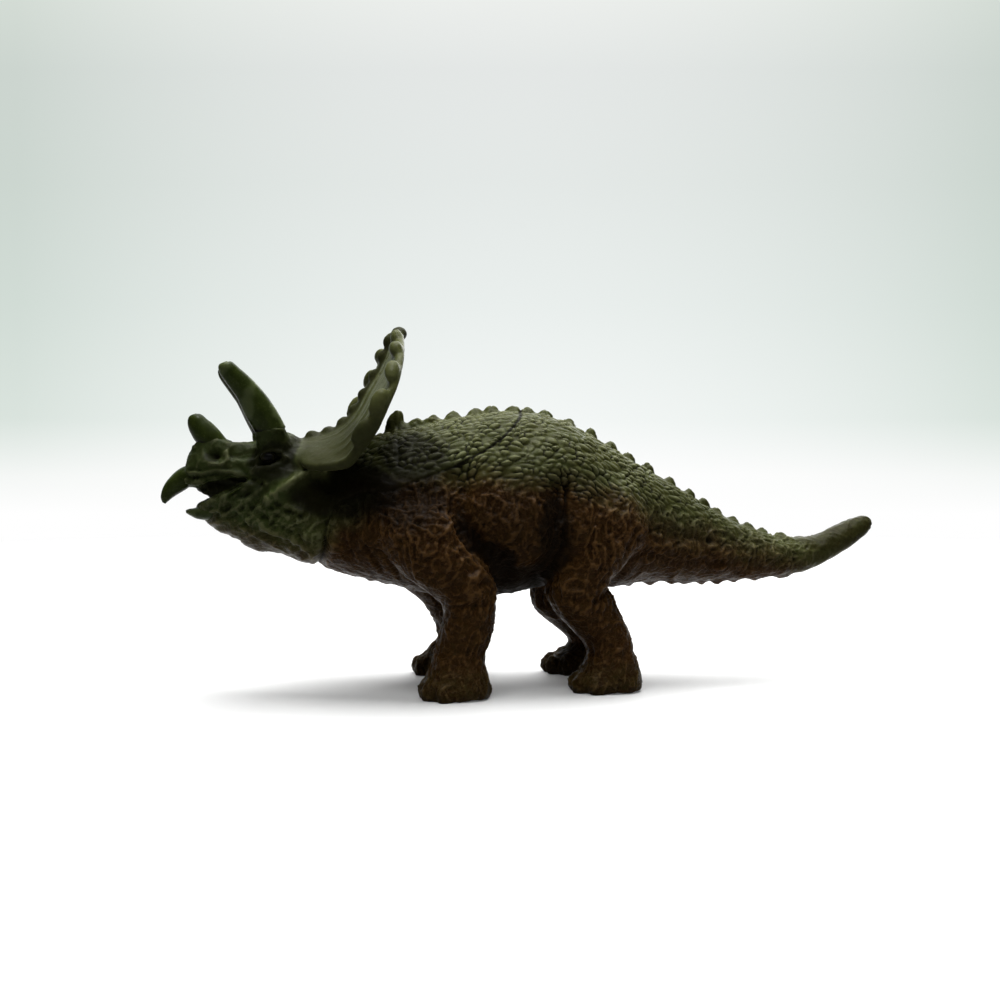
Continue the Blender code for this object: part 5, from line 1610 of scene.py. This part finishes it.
class TOY_OT_stage(Operator):
    """Set the pale table, the backdrop, the soft lamps and the camera"""

    bl_idname = "toy.stage"
    bl_label = "Stage"

    def execute(self, context):
        scene = context.scene
        self.floor()
        self.backdrop()
        self.sky(scene)
        self.lamp("top_lamp", (0.05, 0.14, 0.62), (-0.005, 0.0, 0.03), 0.58, 8.2)
        self.lamp("rear_lamp", (0.30, 0.55, 0.35), (0.0, 0.0, 0.04), 0.40, 1.7)
        front = self.lamp("front_lamp", (-0.16, -0.30, 0.64), (0.0, 0.0, 0.03), 0.22, 1.3)
        front.visible_glossy = False
        glint = self.lamp("glint_lamp", (0.02, -0.12, 0.60), (0.0, 0.0, 0.03), 0.11, 4.0)
        glint.visible_diffuse = False
        camera = bpy.data.cameras.new("photo_view")
        camera.lens = VIEW_LENS
        camera.sensor_width = SENSOR_WIDTH
        holder = bpy.data.objects.new("photo_view", camera)
        holder.location = VIEW_PLACE
        holder.rotation_euler = (math.pi / 2 - VIEW_DROP, 0, -VIEW_YAW)
        scene.collection.objects.link(holder)
        scene.camera = holder
        scene.view_settings.view_transform = "Standard"
        return {"FINISHED"}

    def floor(self):
        """A pale matt table that keeps the shadow."""
        mesh = bmesh.new()
        bmesh.ops.create_grid(mesh, x_segments=4, y_segments=4, size=1)
        place = Matrix.Rotation(-VIEW_YAW, 4, "Z") @ Matrix.Translation((0, -0.2, 0))
        bmesh.ops.transform(mesh, verts=mesh.verts, matrix=place)
        item = link_mesh("table", mesh, turn_out=False)
        material = bpy.data.materials.new("table_white")
        material.use_nodes = True
        tree = material.node_tree
        shader = tree.nodes["Principled BSDF"]
        spot = tree.nodes.new("ShaderNodeTexCoord").outputs["Object"]
        grain = noise_node(tree, spot, 40, 2)
        path = tree.nodes.new("ShaderNodeLightPath")
        seen = summed(tree, "MAXIMUM", path.outputs["Is Camera Ray"], summed(tree, "MAXIMUM", path.outputs["Is Glossy Ray"], path.outputs["Is Transmission Ray"]))
        white = mixed(tree, grain, (0.86, 0.865, 0.86, 1), (0.88, 0.88, 0.875, 1))
        tree.links.new(mixed(tree, seen, (0.22, 0.22, 0.22, 1), white), shader.inputs["Base Color"])
        shader.inputs["Roughness"].default_value = 0.6
        shader.inputs["Specular IOR Level"].default_value = 0.15
        glow = tree.nodes.new("ShaderNodeEmission")
        tree.links.new(seen, glow.inputs["Strength"])
        far = tree.nodes.new("ShaderNodeVectorMath")
        far.operation = "LENGTH"
        tree.links.new(spot, far.inputs[0])
        fade = tree.nodes.new("ShaderNodeMixShader")
        tree.links.new(ranged(tree, far.outputs["Value"], 0.28, 0.55, 0.10, 1.0), fade.inputs[0])
        tree.links.new(shader.outputs["BSDF"], fade.inputs[1])
        tree.links.new(glow.outputs["Emission"], fade.inputs[2])
        tree.links.new(fade.outputs["Shader"], tree.nodes["Material Output"].inputs["Surface"])
        item.data.materials.append(material)

    def backdrop(self):
        """A glowing screen behind the table, white at its foot and grey towards its edges; the grey is painted shade
        of the light falling off.
        """
        mesh = bmesh.new()
        bmesh.ops.create_grid(mesh, x_segments=2, y_segments=2, size=1)
        place = Matrix.Rotation(-VIEW_YAW, 4, "Z") @ Matrix.Translation((0, 0.795, 0.99)) @ Matrix.Rotation(math.pi / 2, 4, "X")
        bmesh.ops.transform(mesh, verts=mesh.verts, matrix=place)
        item = link_mesh("backdrop", mesh, turn_out=False)
        material = bpy.data.materials.new("backdrop_glow")
        material.use_nodes = True
        tree = material.node_tree
        tree.nodes.clear()
        out = tree.nodes.new("ShaderNodeOutputMaterial")
        glow = tree.nodes.new("ShaderNodeEmission")
        spot = tree.nodes.new("ShaderNodeTexCoord").outputs["Object"]
        turn = tree.nodes.new("ShaderNodeMapping")
        turn.inputs["Rotation"].default_value = (0, 0, VIEW_YAW)
        tree.links.new(spot, turn.inputs["Vector"])
        split = tree.nodes.new("ShaderNodeSeparateXYZ")
        tree.links.new(turn.outputs["Vector"], split.inputs["Vector"])
        tall = tree.nodes.new("ShaderNodeValToRGB")
        tree.links.new(ranged(tree, split.outputs["Z"], 0.0, 0.4, 0.0, 1.0), tall.inputs["Fac"])
        stops = ((0.0, (1.0, 1.0, 1.0, 1)), (0.07, (1.0, 1.0, 1.0, 1)), (0.17, (0.90, 0.93, 0.92, 1)), (0.38, (0.82, 0.86, 0.845, 1)),
                 (0.60, (0.775, 0.81, 0.795, 1)), (0.80, (0.775, 0.80, 0.79, 1)), (0.93, (0.84, 0.86, 0.84, 1)))
        ramp_node = tall.color_ramp
        for place_share, colour in stops[:2]:
            ramp_node.elements[0 if place_share == 0 else 1].position = place_share
            ramp_node.elements[0 if place_share == 0 else 1].color = colour
        for place_share, colour in stops[2:]:
            ramp_node.elements.new(place_share).color = colour
        aside = tree.nodes.new("ShaderNodeMath")
        aside.operation = "POWER"
        aside.inputs[1].default_value = 2
        tree.links.new(split.outputs["X"], aside.inputs[0])
        edge = ranged(tree, aside.outputs[0], 0.0, 0.125, 0.0, 1.0)
        edge = summed(tree, "MULTIPLY", edge, ranged(tree, split.outputs["Z"], 0.0, 0.07, 0.0, 1.0))
        colour = mixed(tree, edge, tall.outputs["Color"], mixed(tree, 1.0, tall.outputs["Color"], (0.78, 0.83, 0.79, 1), "MULTIPLY"))
        tree.links.new(colour, glow.inputs["Color"])
        path = tree.nodes.new("ShaderNodeLightPath")
        seen = summed(tree, "MAXIMUM", path.outputs["Is Camera Ray"], summed(tree, "MAXIMUM", path.outputs["Is Glossy Ray"], path.outputs["Is Transmission Ray"]))
        tree.links.new(seen, glow.inputs["Strength"])
        tree.links.new(glow.outputs["Emission"], out.inputs["Surface"])
        item.data.materials.append(material)
        item.visible_shadow = False
        item.visible_diffuse = False

    def sky(self, scene):
        """White to the camera, a weak even light to the object."""
        world = bpy.data.worlds.new("studio")
        scene.world = world
        world.use_nodes = True
        tree = world.node_tree
        back = tree.nodes["Background"]
        path = tree.nodes.new("ShaderNodeLightPath")
        seen = summed(tree, "MAXIMUM", path.outputs["Is Camera Ray"], path.outputs["Is Transmission Ray"])
        strength = ranged(tree, seen, 0.0, 1.0, 0.05, 1.0)
        tree.links.new(strength, back.inputs["Strength"])
        back.inputs["Color"].default_value = (1, 1, 1, 1)

    def lamp(self, name, place, target, size, power):
        """One square soft lamp aimed at a point."""
        light = bpy.data.lights.new(name, "AREA")
        light.size = size
        light.energy = power
        holder = bpy.data.objects.new(name, light)
        holder.location = place
        holder.rotation_euler = (Vector(target) - Vector(place)).to_track_quat("-Z", "Y").to_euler()
        bpy.context.scene.collection.objects.link(holder)
        return holder


class TOY_PT_panel(Panel):
    """Lists the pieces of the toy"""

    bl_idname = "TOY_PT_panel"
    bl_label = "Toy horned dinosaur"
    bl_space_type = "VIEW_3D"
    bl_region_type = "UI"
    bl_category = "Toy"

    def draw(self, context):
        sizes = context.scene.toy_sizes
        for name in ToySizes.__annotations__:
            self.layout.prop(sizes, name)
        for operator in PIECE_OPERATORS:
            self.layout.operator(operator.bl_idname)


PIECE_OPERATORS = (TOY_OT_stage, TOY_OT_skin, TOY_OT_horns, TOY_OT_beaks, TOY_OT_eyes)
CLASSES = (ToySizes, *PIECE_OPERATORS, TOY_PT_panel)


def register():
    """Make the classes known and hang the sizes on the scene."""
    for cls in CLASSES:
        bpy.utils.register_class(cls)
    bpy.types.Scene.toy_sizes = PointerProperty(type=ToySizes)


def unregister():
    """Undo what register does."""
    del bpy.types.Scene.toy_sizes
    for cls in reversed(CLASSES):
        bpy.utils.unregister_class(cls)


def main():
    """Build every piece."""
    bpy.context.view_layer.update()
    register()
    bpy.ops.toy.stage()
    bpy.ops.toy.skin()
    bpy.ops.toy.horns()
    bpy.ops.toy.beaks()
    bpy.ops.toy.eyes()


if __name__ == "__main__":
    main()
